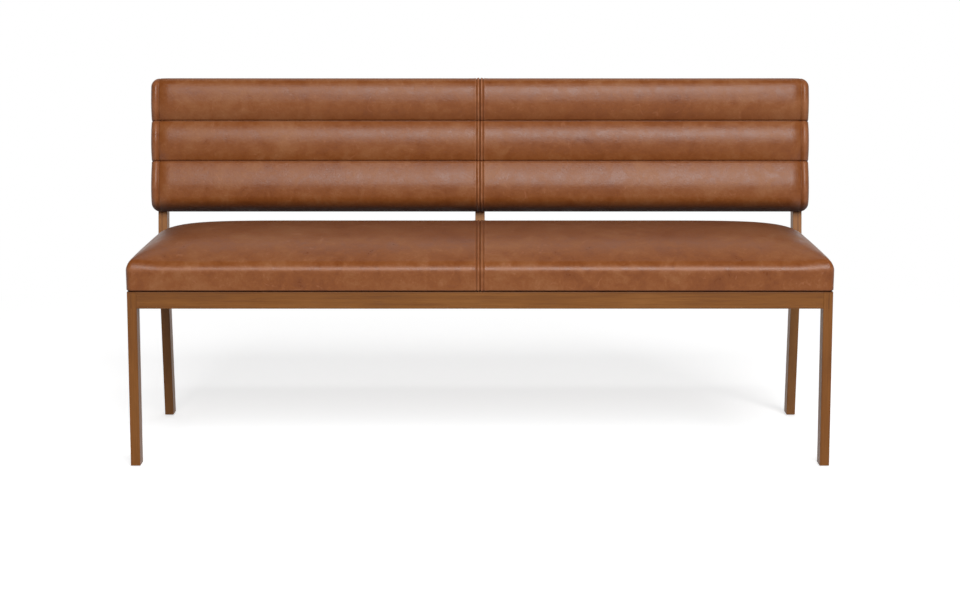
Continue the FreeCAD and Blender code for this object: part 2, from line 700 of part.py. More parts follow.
def seat_form(inset, low):
    """The seat's outside less an inset, cut off level at its foot."""
    half = places.outer_half + sizes.seat_overhang - inset
    first = inset - sizes.seat_overhang
    last = sizes.knee_setback - sizes.seat_back_gap + sizes.seat_draw - inset
    draw = sizes.seat_draw
    shoulder = sizes.seat_shoulder
    slope_reach = sizes.seat_slope_reach

    def section_at(line):
        """Each side is drawn in at its foot, then a rolled edge, a slope and the crown."""
        distance = half - abs(line)
        seam = sizes.seam_depth if line == 0 else 0
        drawn = rounding(distance, sizes.seat_corner - inset) + seam
        front = first + drawn
        back = last - drawn
        left_out = max(0, 1 - distance / draw)
        base = low + (shoulder - low) * left_out ** 2 * (1 - BOW_SHARE)
        roll = sizes.seat_roll - inset
        roll = max(roll - rounding(distance, roll), sizes.least_curve)
        rise = max(sizes.seat_slope_rise * filled(distance, sizes.seat_slope_end), sizes.least_curve)
        crown = max(sizes.seat_crown * filled(distance, sizes.seat_crown_reach), sizes.least_curve)
        crown_turn = arc_slope(crown, back - front - 2 * slope_reach - roll)
        slope_turn = max(math.atan(rise / slope_reach) - crown_turn, sizes.least_curve / slope_reach)
        roll_turn = math.pi / 2 - crown_turn - 2 * slope_turn
        run = roll * (1 - math.cos(roll_turn))
        lift = roll * math.sin(roll_turn) - seam
        roll_bow = corner_rise(roll, roll_turn)
        slope_bow = math.hypot(slope_reach, rise) / 2 * math.tan(slope_turn / 2)
        side_bow = draw * BOW_SHARE
        return (
            (front + draw, base, side_bow), (front, shoulder, roll_bow),
            (front + run, shoulder + lift, slope_bow),
            (front + run + slope_reach, shoulder + lift + rise, crown),
            (back - run - slope_reach, shoulder + lift + rise, slope_bow),
            (back - run, shoulder + lift, roll_bow),
            (back, shoulder, side_bow), (back - draw, base, 0))

    rounded = max(sizes.seat_roll, sizes.seat_corner) - inset
    return lofted(loft_lines(half, rounded, sizes.seat_crown_reach), section_at)


def box_between(low, high):
    return Part.makeBox(high[0] - low[0], high[1] - low[1], high[2] - low[2], vector(*low))


def halves(cover, half, depth, height):
    """A sewn cover parted at its middle seam into a left and a right half."""
    right = cover.common(box_between((0, -depth, -height), (half, depth, height)))
    left = cover.common(box_between((-half, -depth, -height), (0, depth, height)))
    return (("left", left), ("right", right))


reach = sizes.frame_width
hem_top = sizes.rail_top + sizes.leather
hem_x = places.outer_half + sizes.seat_overhang - sizes.seat_hem
hem_front = sizes.seat_hem - sizes.seat_overhang
hem_back = sizes.knee_setback - sizes.seat_back_gap + sizes.seat_draw - sizes.seat_hem
hem_opening = box_between(
    (-hem_x, hem_front, places.rail_bottom), (hem_x, hem_back, sizes.seat_shoulder))
seat_cover = seat_form(0, sizes.rail_top).cut(seat_form(sizes.leather, hem_top)).cut(hem_opening)
for side, half_cover in halves(seat_cover, reach, reach, reach):
    stand(solid_feature("seat_cover_" + side, half_cover), "seat_cover_" + side)

# Seat board: plywood, its corners rounded as the seat's are.

deck = new_body("seat_board_blank")
edge_gap = "(sizes.leather + sizes.soft_clearance)"
deck_half = "(places.outer_half + sizes.seat_overhang - sizes.seat_draw - %s)" % edge_gap
plate = outline(deck, "XY_Plane", rectangle(
    "-" + deck_half, deck_half, "sizes.seat_draw - sizes.seat_overhang + " + edge_gap,
    "sizes.knee_setback - sizes.seat_back_gap - " + edge_gap), "sizes.rail_top + sizes.leather")
extrude(deck, plate, "sizes.board_thickness")
ease(deck, "sizes.seat_corner", runs_along(up))
stand(drilled(deck, spread(seat_hole, deck_screws), "seat_board"), "seat_board")

# Seat foam: fills the cover above the board.

foam_low = hem_top + sizes.board_thickness
foam = seat_form(sizes.leather + sizes.soft_clearance, hem_top)
foam = foam.common(box_between((-reach, -reach, foam_low), (reach, reach, reach)))
stand(solid_feature("seat_foam_block", foam), "seat_foam")

# Dust cloth: under the board, inside the leather's turned-under hem.

gap = sizes.soft_clearance
cloth = solid_feature("dust_cloth_blank", box_between(
    (gap - hem_x, hem_front + gap, hem_top - sizes.dust_cloth),
    (hem_x - gap, hem_back - gap, hem_top)))
stand(drilled(cloth, spread(seat_hole, deck_screws), "dust_cloth"), "seat_dust_cloth")

# Back pad, drawn upright: its rear face at Y zero, its lower edge at Z zero, its front
# towards -Y. Three channels lie one above the other, parted by sewn lines.

CHANNEL_TOPS = (
    sizes.lower_channel, sizes.lower_channel + sizes.middle_channel, places.pad_length)


def pad_form(inset, rear):
    """The back pad's outside less an inset, cut off upright at its rear."""
    half = places.pad_width / 2 - inset
    roll = sizes.pad_roll - inset

    def section_at(line):
        """Up the front: a rolled edge, three bowed channels and a rolled edge."""
        distance = half - abs(line)
        seam = sizes.seam_depth if line == 0 else 0
        crest = sizes.pad_thickness - inset - rounding(distance, sizes.pad_end_roll - inset) - seam
        valley = crest - sizes.channel_depth + seam
        low = inset + rounding(distance, sizes.pad_bottom_corner - inset)
        high = places.pad_length - inset - rounding(distance, sizes.pad_top_corner - inset)
        depth = crest - valley
        slope = arc_slope(depth, sizes.middle_channel)
        run = roll * math.cos(slope)
        lift = roll * (1 - math.sin(slope))
        bow = corner_rise(roll, math.pi / 2 - slope)
        first, second = CHANNEL_TOPS[:2]
        return (
            (-rear, low, 0), (run - valley, low, bow), (-valley, low + lift, depth),
            (-valley, first, depth), (-valley, second, depth),
            (-valley, high - lift, bow), (run - valley, high, 0), (-rear, high, 0))

    rounded = max(sizes.pad_end_roll, sizes.pad_top_corner) - inset
    return lofted(loft_lines(half, rounded, places.pad_length), section_at)


pad_half = places.pad_width / 2
pad_hem = sizes.pad_hem
pad_opening = box_between(
    (pad_hem - pad_half, -sizes.pad_thickness + sizes.channel_depth + sizes.pad_roll, pad_hem),
    (pad_half - pad_hem, 0, places.pad_length - pad_hem))
back_cover = pad_form(0, sizes.leather).cut(pad_form(sizes.leather, board_rear)).cut(pad_opening)
back_cover = back_cover.cut(bolt_drill(tilted=False))
for side, half_cover in halves(back_cover, reach, reach, reach):
    lean_back(solid_feature("back_cover_" + side, half_cover), "back_cover_" + side)

# Back board: plywood, its corners rounded as the pad's are, with the bolts' tee nuts.

board = new_body("back_board_blank")
board_half = "(places.pad_width / 2 - %s)" % edge_gap
plate = outline(board, "XY_Plane", rectangle(
    "-" + board_half, board_half, "-2 * sizes.leather - sizes.board_thickness",
    "-2 * sizes.leather"), edge_gap)
extrude(board, plate, "places.pad_length - 2 * " + edge_gap)
middle_height = places.pad_length / 2


def upper_corner(edge):
    return runs_along(vector(0, 1, 0))(edge) and edge.CenterOfMass.z > middle_height


def lower_corner(edge):
    return runs_along(vector(0, 1, 0))(edge) and edge.CenterOfMass.z < middle_height


ease(board, "sizes.pad_top_corner", upper_corner)
ease(board, "sizes.pad_bottom_corner", lower_corner)
board_drill = Part.makeCompound([bolt_drill(tilted=False), spread(nut_hole, nut_spots)])
lean_back(drilled(board, board_drill, "back_board"), "back_board")

# Back foam: one strip behind each channel.

foam_form = pad_form(sizes.leather + sizes.soft_clearance, board_front)
strip_low = -reach
for name, top in zip(("lower", "middle", "upper"), CHANNEL_TOPS):
    strip_high = top if name != "upper" else reach
    strip = foam_form.common(box_between((-reach, -reach, strip_low), (reach, reach, strip_high)))
    lean_back(solid_feature("back_foam_" + name, strip), "back_foam_" + name)
    strip_low = strip_high

# Rear cover: a leather panel over the back board's rear and the turned-in edges.

inset = sizes.rear_cover_inset
rear_cover = solid_feature("rear_cover_blank", box_between(
    (inset - pad_half, -sizes.leather, inset), (pad_half - inset, 0, places.pad_length - inset)))
lean_back(drilled(rear_cover, bolt_drill(tilted=False), "rear_cover"), "back_rear_cover")

# Bolts, washers and tee nuts that hold the pad to the three posts.

head = sizes.bolt_head_radius
crown = sizes.bolt_head_height
shank = sizes.bolt_radius
bolt = turned((
    (0, sizes.washer_thickness + crown), (head / 2, sizes.washer_thickness + crown),
    (head, sizes.washer_thickness + crown / 2), (head, sizes.washer_thickness),
    (shank, sizes.washer_thickness), (shank, sizes.washer_thickness - bolt_length),
    (0, sizes.washer_thickness - bolt_length)))
washer = turned((
    (bolt_bore, 0), (sizes.washer_radius, 0), (sizes.washer_radius, sizes.washer_thickness),
    (bolt_bore, sizes.washer_thickness)))
flange = sizes.nut_flange_thickness
nut = turned((
    (bolt_bore, -sizes.nut_barrel_length), (sizes.nut_barrel_radius, -sizes.nut_barrel_length),
    (sizes.nut_barrel_radius, -flange), (sizes.nut_flange_radius, -flange),
    (sizes.nut_flange_radius, 0), (bolt_bore, 0)))
lean_back(solid_feature("bolts", spread(bolt, bolt_spots)), "back_bolts")
lean_back(solid_feature("washers", spread(washer, bolt_spots)), "back_bolt_washers")
lean_back(solid_feature("tee_nuts", spread(nut, nut_spots)), "back_tee_nuts")

# Every piece is checked before any file is written.

doc.recompute()
for item in doc.Objects:
    if {"Invalid", "Error"} & set(item.State):
        raise ValueError("%s did not build" % item.Label)
for piece in nodes:
    if piece.Shape.isNull() or not piece.Shape.isValid() or not piece.Shape.Solids:
        raise ValueError("%s is not a sound solid" % piece.Label)

os.makedirs("parts", exist_ok=True)
for piece in nodes:
    piece.Shape.exportStep("parts/%s.step" % piece.Label)
    box = piece.Shape.BoundBox
    print("%-26s %2d solids, %8.1f cm3, X %.1f to %.1f, Y %.1f to %.1f, Z %.1f to %.1f" % (
        piece.Label, len(piece.Shape.Solids), piece.Shape.Volume / 1000,
        box.XMin, box.XMax, box.YMin, box.YMax, box.ZMin, box.ZMax))
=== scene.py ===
import math

import bpy
import numpy as np
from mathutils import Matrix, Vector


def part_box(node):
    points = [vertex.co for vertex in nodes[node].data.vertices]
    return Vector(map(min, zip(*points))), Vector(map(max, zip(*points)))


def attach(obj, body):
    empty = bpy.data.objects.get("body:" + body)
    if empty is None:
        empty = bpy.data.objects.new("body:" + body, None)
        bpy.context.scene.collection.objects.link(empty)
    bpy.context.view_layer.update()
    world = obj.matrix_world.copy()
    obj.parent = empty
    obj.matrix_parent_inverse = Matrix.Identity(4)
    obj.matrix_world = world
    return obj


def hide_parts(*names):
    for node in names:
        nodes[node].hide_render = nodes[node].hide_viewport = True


# Upholstered banquette bench: a slim stained frame, a crowned leather seat and a leather
# back pad in three channels. Lengths are in metres, +X to the right as seen from the
# front, +Y to the back and +Z up, with the origin on the floor under the middle.

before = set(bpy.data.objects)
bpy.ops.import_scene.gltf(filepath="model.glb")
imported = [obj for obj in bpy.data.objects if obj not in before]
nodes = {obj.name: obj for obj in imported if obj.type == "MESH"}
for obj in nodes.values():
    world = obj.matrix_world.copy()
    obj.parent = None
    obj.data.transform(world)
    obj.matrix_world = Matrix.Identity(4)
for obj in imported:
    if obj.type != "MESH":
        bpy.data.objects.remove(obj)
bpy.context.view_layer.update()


# ---- Studio: a white floor that keeps the bench's shadow, a large key light at the front
# right, a weak lamp and a pale sky behind, and a camera a little above the seat.

def light_of(*levels):
    """A colour given as display levels from 0 to 255, turned into linear light."""
    shares = np.array(levels) / 255
    linear = np.where(shares <= 0.04045, shares / 12.92, ((shares + 0.055) / 1.055) ** 2.4)
    return (*linear.tolist(), 1.0)


class Link:
    """A socket of a material, with Python's operators adding Math nodes to it."""

    def __init__(self, tree, socket):
        self.tree = tree
        self.socket = socket

    def add(self, kind, sockets, output=0, stops=None, **settings):
        """One new node: its settings first, then the values or links of its sockets."""
        node = self.tree.nodes.new("ShaderNode" + kind)
        for name, setting in settings.items():
            setattr(node, name, setting)
        if stops:
            ramp = node.color_ramp
            ramp.elements.remove(ramp.elements[1])
            ramp.elements[0].position = stops[0][0]
            for position, level in stops[1:]:
                ramp.elements.new(position)
            for element, (position, level) in zip(ramp.elements, stops):
                element.color = level if isinstance(level, tuple) else (level, level, level, 1)
        for name, value in sockets.items():
            if isinstance(value, Link):
                self.tree.links.new(value.socket, node.inputs[name])
            else:
                node.inputs[name].default_value = value
        return Link(self.tree, node.outputs[output])

    def math(self, operation, first, second):
        return self.add("Math", {0: first, 1: second}, operation=operation)

    def __add__(self, other):
        return self.math("ADD", self, other)

    def __sub__(self, other):
        return self.math("SUBTRACT", self, other)

    def __rsub__(self, other):
        return self.math("SUBTRACT", other, self)

    def __mul__(self, other):
        return self.math("MULTIPLY", self, other)

    __radd__ = __add__
    __rmul__ = __mul__

    def __gt__(self, other):
        return self.math("GREATER_THAN", self, other)

    def larger(self, other):
        return self.math("MAXIMUM", self, other)

    def size(self):
        return self.math("ABSOLUTE", self, 0.0)

    def between(self, low, high, start=0.0, end=1.0):
        """A smooth change from start to end as this value goes from low to high."""
        span = {"Value": self, "From Min": low, "From Max": high, "To Min": start, "To Max": end}
        return self.add("MapRange", span, interpolation_type="SMOOTHSTEP")

    def colour(self, low, high, kind="MIX"):
        """The colour low where this value is 0, and high where it is 1."""
        return self.add("Mix", {0: self, 6: low, 7: high}, 2, data_type="RGBA", blend_type=kind)


def new_material(name):
    """An empty material and its Object coordinates, from which its nodes start."""
    material = bpy.data.materials.new(name)
    material.use_nodes = True
    tree = material.node_tree
    tree.nodes.clear()
    return material, Link(tree, tree.nodes.new("ShaderNodeTexCoord").outputs["Object"])


def surfaced(place, shader):
    """Connects a shader to the material's output."""
    output = place.tree.nodes.new("ShaderNodeOutputMaterial")
    place.tree.links.new(shader.socket, output.inputs["Surface"])


def new_piece(name, points, faces, material, smooth=True):
    """A mesh object at the origin from its points and faces."""
    mesh = bpy.data.meshes.new(name)
    mesh.from_pydata(np.asarray(points).tolist(), [], [list(face) for face in faces])
    mesh.polygons.foreach_set("use_smooth", np.full(len(mesh.polygons), smooth))
    mesh.materials.append(material)
    mesh.update()
    piece = bpy.data.objects.new(name, mesh)
    bpy.context.scene.collection.objects.link(piece)
    return piece


FLOOR_REACH = 30.0
FLOOR_DIM = (0.1, 0.1, 0.1, 1)
FLOOR_LIT = (0.8, 0.8, 0.8, 1)
FLOOR_GLOW = 0.6

# The floor keeps a shadow up to the first of these distances and is plain white from the second.
SHADOW_REACH = (1.3, 2.6)
floor_material, place = new_material("studio_floor")
dim = place.add("BsdfDiffuse", {"Color": FLOOR_DIM})
lit = place.add("BsdfDiffuse", {"Color": FLOOR_LIT})
glow = place.add("Emission", {"Strength": FLOOR_GLOW})
white = place.add("Emission", {"Strength": 1.0})
kept = place.add("AddShader", {0: lit, 1: glow})
away = place.add("VectorMath", {0: place}, "Value", operation="LENGTH").between(*SHADOW_REACH)
shown_floor = place.add("MixShader", {0: away, 1: kept, 2: white})
seen = (place.add("LightPath", {}, "Is Camera Ray") + place.add("LightPath", {}, "Is Glossy Ray")
        + place.add("LightPath", {}, "Is Transmission Ray"))
surfaced(place, place.add("MixShader", {0: seen, 1: dim, 2: shown_floor}))
floor = new_piece("studio_floor", np.array([
    (-1, -1, 0), (1, -1, 0), (1, 1, 0), (-1, 1, 0)]) * FLOOR_REACH, [(0, 1, 2, 3)], floor_material)

# The camera sees plain white. Mirrored rays see a pale cove above the floor, and the others a
# weak fill from behind and from low down.
world = bpy.data.worlds.new("studio")
world.use_nodes = True
world.node_tree.nodes.clear()
sky = Link(world.node_tree, world.node_tree.nodes.new("ShaderNodeTexCoord").outputs["Generated"])
mirrored = (sky.add("LightPath", {}, "Is Glossy Ray")
            + sky.add("LightPath", {}, "Is Transmission Ray"))
behind = sky.add("SeparateXYZ", {0: sky}, "Y")
height = sky.add("SeparateXYZ", {0: sky}, "Z")
cove = (height - behind * 0.3).between(0.05, 0.25, 1.0, 0.05)
low = height.between(0.0, 0.4, 0.4, 0.0)
fill = behind.between(0.1, 0.9, 0.05, 0.6) + low
strength = (mirrored > 0.5).between(0, 1, fill, cove)
strength = strength.larger(sky.add("LightPath", {}, "Is Camera Ray"))
backdrop = sky.add("Background", {"Color": (1, 1, 1, 1), "Strength": strength})
world_output = world.node_tree.nodes.new("ShaderNodeOutputWorld")
world.node_tree.links.new(backdrop.socket, world_output.inputs["Surface"])
bpy.context.scene.world = world


LAMP_TARGET = (0, 0, 0.45)
KEY_LAMP = {"place": (0.9, -5.7, 4.4), "width": 5.0, "height": 3.6, "power": 540}
REAR_LAMP = {"place": (0, 2.5, 3.9), "width": 3.4, "height": 1.4, "power": 18}


def soft_light(name, place, width, height, power):
    """A rectangular light at a place, facing the bench, of one power in watts."""
    lamp = bpy.data.lights.new(name, "AREA")
    lamp.shape = "RECTANGLE"
    lamp.size = width
    lamp.size_y = height
    lamp.energy = power
    holder = bpy.data.objects.new(name, lamp)
    holder.location = place
    away = holder.location.copy() - type(holder.location)(LAMP_TARGET)
    holder.rotation_euler = away.to_track_quat("Z", "Y").to_euler()
    bpy.context.scene.collection.objects.link(holder)


soft_light("front", **KEY_LAMP)
soft_light("rear", **REAR_LAMP)

# The camera stands 4.88 m before the front legs and 1.12 m up, tilted down 8.86 degrees. Its
# lens and sensor are in millimetres.
CAMERA_PLACE = (0.0, -5.17351, 1.1218)
CAMERA_TILT = 0.1546
CAMERA_LENS = 85.79
CAMERA_SENSOR = 36.0
camera_data = bpy.data.cameras.new("camera")
camera_data.lens = CAMERA_LENS
camera_data.sensor_width = CAMERA_SENSOR
camera = bpy.data.objects.new("camera", camera_data)
camera.location = CAMERA_PLACE
camera.rotation_euler = (math.pi / 2 - CAMERA_TILT, 0, 0)
bpy.context.scene.collection.objects.link(camera)
bpy.context.scene.camera = camera
bpy.context.scene.view_settings.view_transform = "Standard"


# ---- Wooden frame: legs, posts, rails and corner blocks of one straight-grained hardwood,
# stained medium brown and lacquered satin. The grain runs along each member, and the rear
# legs and the middle post are painted lighter, a painted fill light where the seat and the pad
# shade them.

WOOD_DARK = light_of(92, 50, 17)
WOOD_MEAN = light_of(127, 77, 29)
WOOD_LIGHT = light_of(147, 95, 44)
# Painted fill light: a lighter brown for the boards that the seat and the pad shade.
WOOD_PAINTED_FILL = light_of(184, 132, 84)
GRAIN_DRAWN = 0.03
RAIL_FOOT = 0.3488
JOINT_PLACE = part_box("front_rail")[1][0]


def stained_wood(name, along, shift, painted_fill):
    """Bands, streaks and pores: noise drawn out 33 times along the member's own axis. The
    stain is darker along the front joints, a painted shade darkens the corner under the
    seat, and a painted fill light mixes the share painted_fill of a lighter brown into the tone."""
    material, place = new_material(name)
    drawn_out = [1.0, 1.0, 1.0]
    drawn_out[along] = GRAIN_DRAWN
    grain = place.add("Mapping", {
        "Vector": place, "Location": (shift, 1.7 * shift, 0.6 * shift), "Scale": drawn_out})
    bands = grain.add("TexNoise", {
        "Vector": grain, "Scale": 90, "Detail": 3, "Roughness": 0.55, "Distortion": 0.4})
    streaks = grain.add("TexNoise", {"Vector": grain, "Scale": 420, "Detail": 4, "Roughness": 0.65})
    pores = grain.add("TexNoise", {"Vector": grain, "Scale": 1500, "Detail": 2}).between(0.6, 0.72)
    broad = place.add("TexNoise", {"Vector": place, "Scale": 5, "Detail": 2}) - 0.5
    tone = bands * 0.5 + streaks * 0.5 + broad * 0.25
    tone = tone.add("ValToRGB", {"Fac": tone}, stops=(
        (0.2, WOOD_DARK), (0.5, WOOD_MEAN), (0.78, WOOD_LIGHT)))
    # Painted fill light, mixed into the boards that the seat and the pad shade.
    tone = (broad * 0.1 + painted_fill).colour(tone, WOOD_PAINTED_FILL)
    stained = pores.colour(tone, WOOD_DARK)
    colour = (pores * 0.45).colour(tone, stained)
    height = place.add("SeparateXYZ", {0: place}, "Z")
    # Painted shade in the corner under the seat, just below the rail's top.
    corner = height.between(0.380, 0.385) * height.between(0.386, 0.39, 1.0, 0.0)
    from_joint = (place.add("SeparateXYZ", {0: place}, "X").size() - JOINT_PLACE).size()
    joint = from_joint.between(0.0004, 0.0014, 1.0, 0.0) * (height > RAIL_FOOT)
    colour = (corner * 0.5).larger(joint * 0.7).colour(colour, WOOD_DARK)
    relief = streaks * 0.5 - pores * 0.8
    bump = relief.add("Bump", {"Height": relief, "Strength": 0.5, "Distance": 0.00025})
    shader = place.add("BsdfPrincipled", {
        "Base Color": colour, "Roughness": streaks * 0.16 + 0.4, "Normal": bump,
        "Specular IOR Level": 0.3})
    surfaced(place, shader)
    return material


# Share of painted fill light on each board that the seat and the pad shade.
PAINTED_FILL_SHARE = {"rear_leg_left": 0.22, "rear_leg_right": 0.3, "centre_post": 0.5}
BOARD_SHIFT = 0.37
MEMBERS = (
    (2, ("front_leg_left", "front_leg_right", "rear_leg_left", "rear_leg_right", "centre_post")),
    (0, ("front_rail", "back_rail", "corner_block_front_left", "corner_block_front_right",
         "corner_block_rear_left", "corner_block_rear_right")),
    (1, ("side_rail_left", "side_rail_right", "cross_rail_left", "cross_rail_right")))
for along, names in MEMBERS:
    for number, name in enumerate(names):
        shift = BOARD_SHIFT * number + along
        wood = stained_wood("stained_%s" % name, along, shift, PAINTED_FILL_SHARE.get(name, 0.0))
        nodes[name].data.materials.clear()
        nodes[name].data.materials.append(wood)


# ---- Boards inside the seat and the back: birch plywood, raw, its veneers showing as pale
# and dark lines on the edges.

PLY_TURNS = 4190


def birch_plywood(name, thickness_axis):
    """A pale veneer, and plies of 0.75 mm, pale and dark in turn, across the thickness: the
    sine of PLY_TURNS times the distance."""
    material, place = new_material(name)
    across = place.add("SeparateXYZ", {0: place}, thickness_axis)
    ply = across.math("SINE", across * PLY_TURNS, 0.0).between(-0.2, 0.2)
    grain = place.add("Mapping", {"Vector": place, "Scale": (0.05, 1.0, 1.0)})
    figure = grain.add("TexNoise", {"Vector": grain, "Scale": 300, "Detail": 4})
    veneer = figure.colour(light_of(196, 160, 112), light_of(222, 190, 146))
    colour = (ply * 0.35).colour(veneer, light_of(158, 118, 76))
    bump = figure.add("Bump", {"Height": figure, "Strength": 0.3, "Distance": 0.0002})
    surfaced(place, place.add("BsdfPrincipled", {
        "Base Color": colour, "Roughness": figure * 0.2 + 0.55, "Normal": bump}))
    return material


for name, thickness_axis in (("seat_board", 2), ("back_board", 1)):
    nodes[name].data.materials.clear()
    nodes[name].data.materials.append(birch_plywood("plywood_" + name, thickness_axis))


# ---- Fixings: zinc-plated screws and nails, black bolts with washers and tee nuts, and
# moulded nylon glides under the feet.

def worn_metal(name, colour, worn, roughness, metallic):
    """A plated or blackened metal, rubbed unevenly, with fine turning marks."""
    material, place = new_material(name)
    patches = place.add("TexNoise", {"Vector": place, "Scale": 240, "Detail": 5})
    marks = place.add("TexNoise", {"Vector": place, "Scale": 2600, "Detail": 2})
    rubbed = patches.between(0.52, 0.7)
    bump = marks.add("Bump", {"Height": marks, "Strength": 0.3, "Distance": 0.00005})
    surfaced(place, place.add("BsdfPrincipled", {
        "Base Color": rubbed.colour(colour, worn), "Metallic": metallic,
        "Roughness": patches * 0.25 + roughness, "Normal": bump}))
    return material


FIXINGS = (
    (worn_metal("zinc", light_of(186, 180, 160), light_of(150, 146, 136), 0.24, 1.0),
     ("corner_block_screws", "seat_board_screws", "centre_post_screws", "glide_nails")),
    (worn_metal("black_oxide", light_of(38, 37, 36), light_of(84, 82, 80), 0.3, 0.85),
     ("back_bolts", "back_bolt_washers", "back_tee_nuts")),
    (worn_metal("nylon", light_of(52, 40, 32), light_of(74, 62, 54), 0.45, 0.0), ("foot_glides",)))
for metal, names in FIXINGS:
    for name in names:
        nodes[name].data.materials.clear()
        nodes[name].data.materials.append(metal)


# ---- Seat: one crowned cushion of foam on a plywood board, covered in cognac leather that
# is sewn together down the middle, pulled over the edges and stapled under the board.

HIDE_DARK = light_of(118, 61, 24)
HIDE_MEAN = light_of(134, 76, 35)
HIDE_LIGHT = light_of(146, 92, 53)
# Light scars and scuffs, and painted highlights.
HIDE_SCAR_AND_HIGHLIGHT = light_of(166, 108, 74)
# Painted shade, for hems, grooves, undersides and the back of the seat.
HIDE_SHADE = light_of(52, 21, 8)
HALF_SHIFT = 3.1


def cognac_leather(name):
    """Clouded tone over some centimetres, flecks and healed scratches, painted highlights,
    painted shade, fine creases and pores. The two halves of a cover are cut from different places
    of a hide."""
    material, place = new_material(name)
    half = place.add("SeparateXYZ", {0: place}, 0) > 0

    def noise(scale, shift=0.0, **sockets):
        return place.add("TexNoise", {
            "Vector": place, "W": half * HALF_SHIFT + shift, "Scale": scale, **sockets},
            noise_dimensions="4D")

    clouds = noise(7, Detail=5, Roughness=0.62, Distortion=0.5)
    patches = noise(31, 2.0, Detail=5, Roughness=0.66, Distortion=0.8)
    grit = noise(210, 4.0, Detail=3, Roughness=0.6)
    tone = clouds * 0.46 + patches * 0.4 + grit * 0.14
    hide = tone.add("ValToRGB", {"Fac": tone}, stops=(
        (0.36, HIDE_DARK), (0.5, HIDE_MEAN), (0.62, HIDE_LIGHT)))
    scratch = (noise(5, 6.0, Detail=3, Distortion=0.8) - 0.5).size()
    scars = scratch.between(0.0, 0.006, 1.0, 0.0) * noise(44, 8.0, Detail=2).between(0.56, 0.62)
    scuffs = noise(95, 10.0, Detail=4, Roughness=0.7, Distortion=1.2).between(0.55, 0.68)
    flecks = grit.between(0.62, 0.72) * patches.between(0.5, 0.6)
    scuffs = scuffs * patches.between(0.46, 0.6)
    light = (scars * 0.4).larger(flecks * 0.4).larger(scuffs * 0.4)
    # Painted highlights on the seat's upper edge, the seam's folds and the pad's end ridges.
    painted_highlight = place.add("Attribute", {}, "Fac", attribute_name="painted_highlight")
    painted_highlight = painted_highlight * patches.between(0.35, 0.6, 0.4, 1.0)
    # Painted shade, carried by the points: it darkens the colour and dulls the sheen.
    painted_shade = place.add("Attribute", {}, "Fac", attribute_name="painted_shade")
    colour = light.colour(hide, HIDE_SCAR_AND_HIGHLIGHT)
    colour = (painted_highlight * 0.85).colour(colour, HIDE_SCAR_AND_HIGHLIGHT)
    colour = (painted_shade * 0.95).colour(colour, HIDE_SHADE)
    pebble = place.add("TexVoronoi", {"Vector": place, "Scale": 850}, 0)
    creases = place.add("TexVoronoi", {
        "Vector": place.add("Mapping", {"Vector": place, "Rotation": (0.4, 0.3, 0.6)}),
        "Scale": 130, "Randomness": 1.0}, 0, feature="DISTANCE_TO_EDGE").between(0.0, 0.09)
    relief = pebble * 0.14 + creases * 0.2 + patches * 1.3 + clouds * 1.5 + grit * 0.35
    bump = relief.add("Bump", {"Height": relief, "Strength": 0.35, "Distance": 0.0009})
    rough = patches.between(0.3, 0.7, 0.3, 0.46) + (clouds - 0.5) * 0.2 + (grit - 0.5) * 0.2
    surfaced(place, place.add("BsdfPrincipled", {
        "Base Color": colour, "Roughness": rough + painted_shade * 0.4,
        "Normal": bump, "Specular IOR Level": 0.32}))
    return material


leather = cognac_leather("cognac_leather")

SEAT_HALF = 0.7648
SEAT_FRONT = -0.29781
SEAT_BACK = 0.20339
SEAT_SHOULDER = 0.4328
SEAT_ROLL = 0.01556
SEAT_CROWN = 0.0560
SEAT_CORNER = 0.014
SEAT_FOOT = 0.3853
SEAT_DRAW = 0.0009
FOOT_ROLL = 0.0025
FOOT_LIFT = 0.0024

# The rise of the crown: where it starts inside the outline, its reach and its power.
END_RISE = (0.0018, 0.3618, 4.61)
EDGE_RISE = (0.0004, 0.25, 1.79)
PLAIN_ENDS = (0.01, 0.06)
FRONT_DROP = (0.12, 0.0022)
FRONT_SOFT = 0.02

# Insets of the seat's rings before its roll, and of those under the board.
SEAT_INNER = 0.024
SEAT_SHELF = (0.021, 0.018)
SEAT_UNDER = (0.0044, 0.0048, 0.0052, 0.024, 0.032, 0.0325)
SEAT_HOLLOW = 0.003
CORNER_SPAN = 0.04
SEAM_LINES = (0, .0006, .0012, .0018, .0025, .0033, .0042, .0052, .0062, .007, .0076, .0081,
              .0087, .0095, .0106, .012, .0145, .018)
SEAM_GAP = 0.004


def spaced(low, high, step):
    """Even steps of about one length from low up to, but not including, high."""
    return np.linspace(low, high, max(2, round((high - low) / step)) + 1)[:-1]


def grid_lines(half, step, fine):
    """Lines of a grid from -half to half, closer together near both ends."""
    inner = half - CORNER_SPAN
    right = np.concatenate([spaced(0, inner, step), spaced(inner, half, fine), [half]])
    return np.concatenate([-right[:0:-1], right])


def seam_grid_lines(half, step, fine):
    """As grid_lines, with lines close together beside a seam in the middle."""
    inner = half - CORNER_SPAN
    right = np.concatenate([
        SEAM_LINES, spaced(SEAM_LINES[-1] + SEAM_GAP, inner, step), spaced(inner, half, fine),
        [half]])
    return np.concatenate([-right[:0:-1], right])


def along_edge(line, grid_half, half, radius, inset):
    """Where a grid line meets an inset outline with rounded corners.

    Away from the corners the line keeps its own place. The last CORNER_SPAN of lines
    shares out the rest of the straight edge and half of the corner's arc. Gives the
    place along the edge, and how far the arc has turned in from it.
    """
    arc = np.maximum(radius - inset, 0)
    free = grid_half - CORNER_SPAN
    straight = half - inset - arc - free
    share = np.clip((np.abs(line) - free) / CORNER_SPAN, 0, 1)
    travelled = share * (straight + arc * math.pi / 4)
    turn = np.where(arc > 0, np.maximum(travelled - straight, 0) / np.maximum(arc, 1e-9), 0)
    place = free + np.minimum(travelled, straight) + arc * np.sin(turn)
    place = np.where(share > 0, place, np.abs(line))
    return np.sign(line) * place, arc * (1 - np.cos(turn))


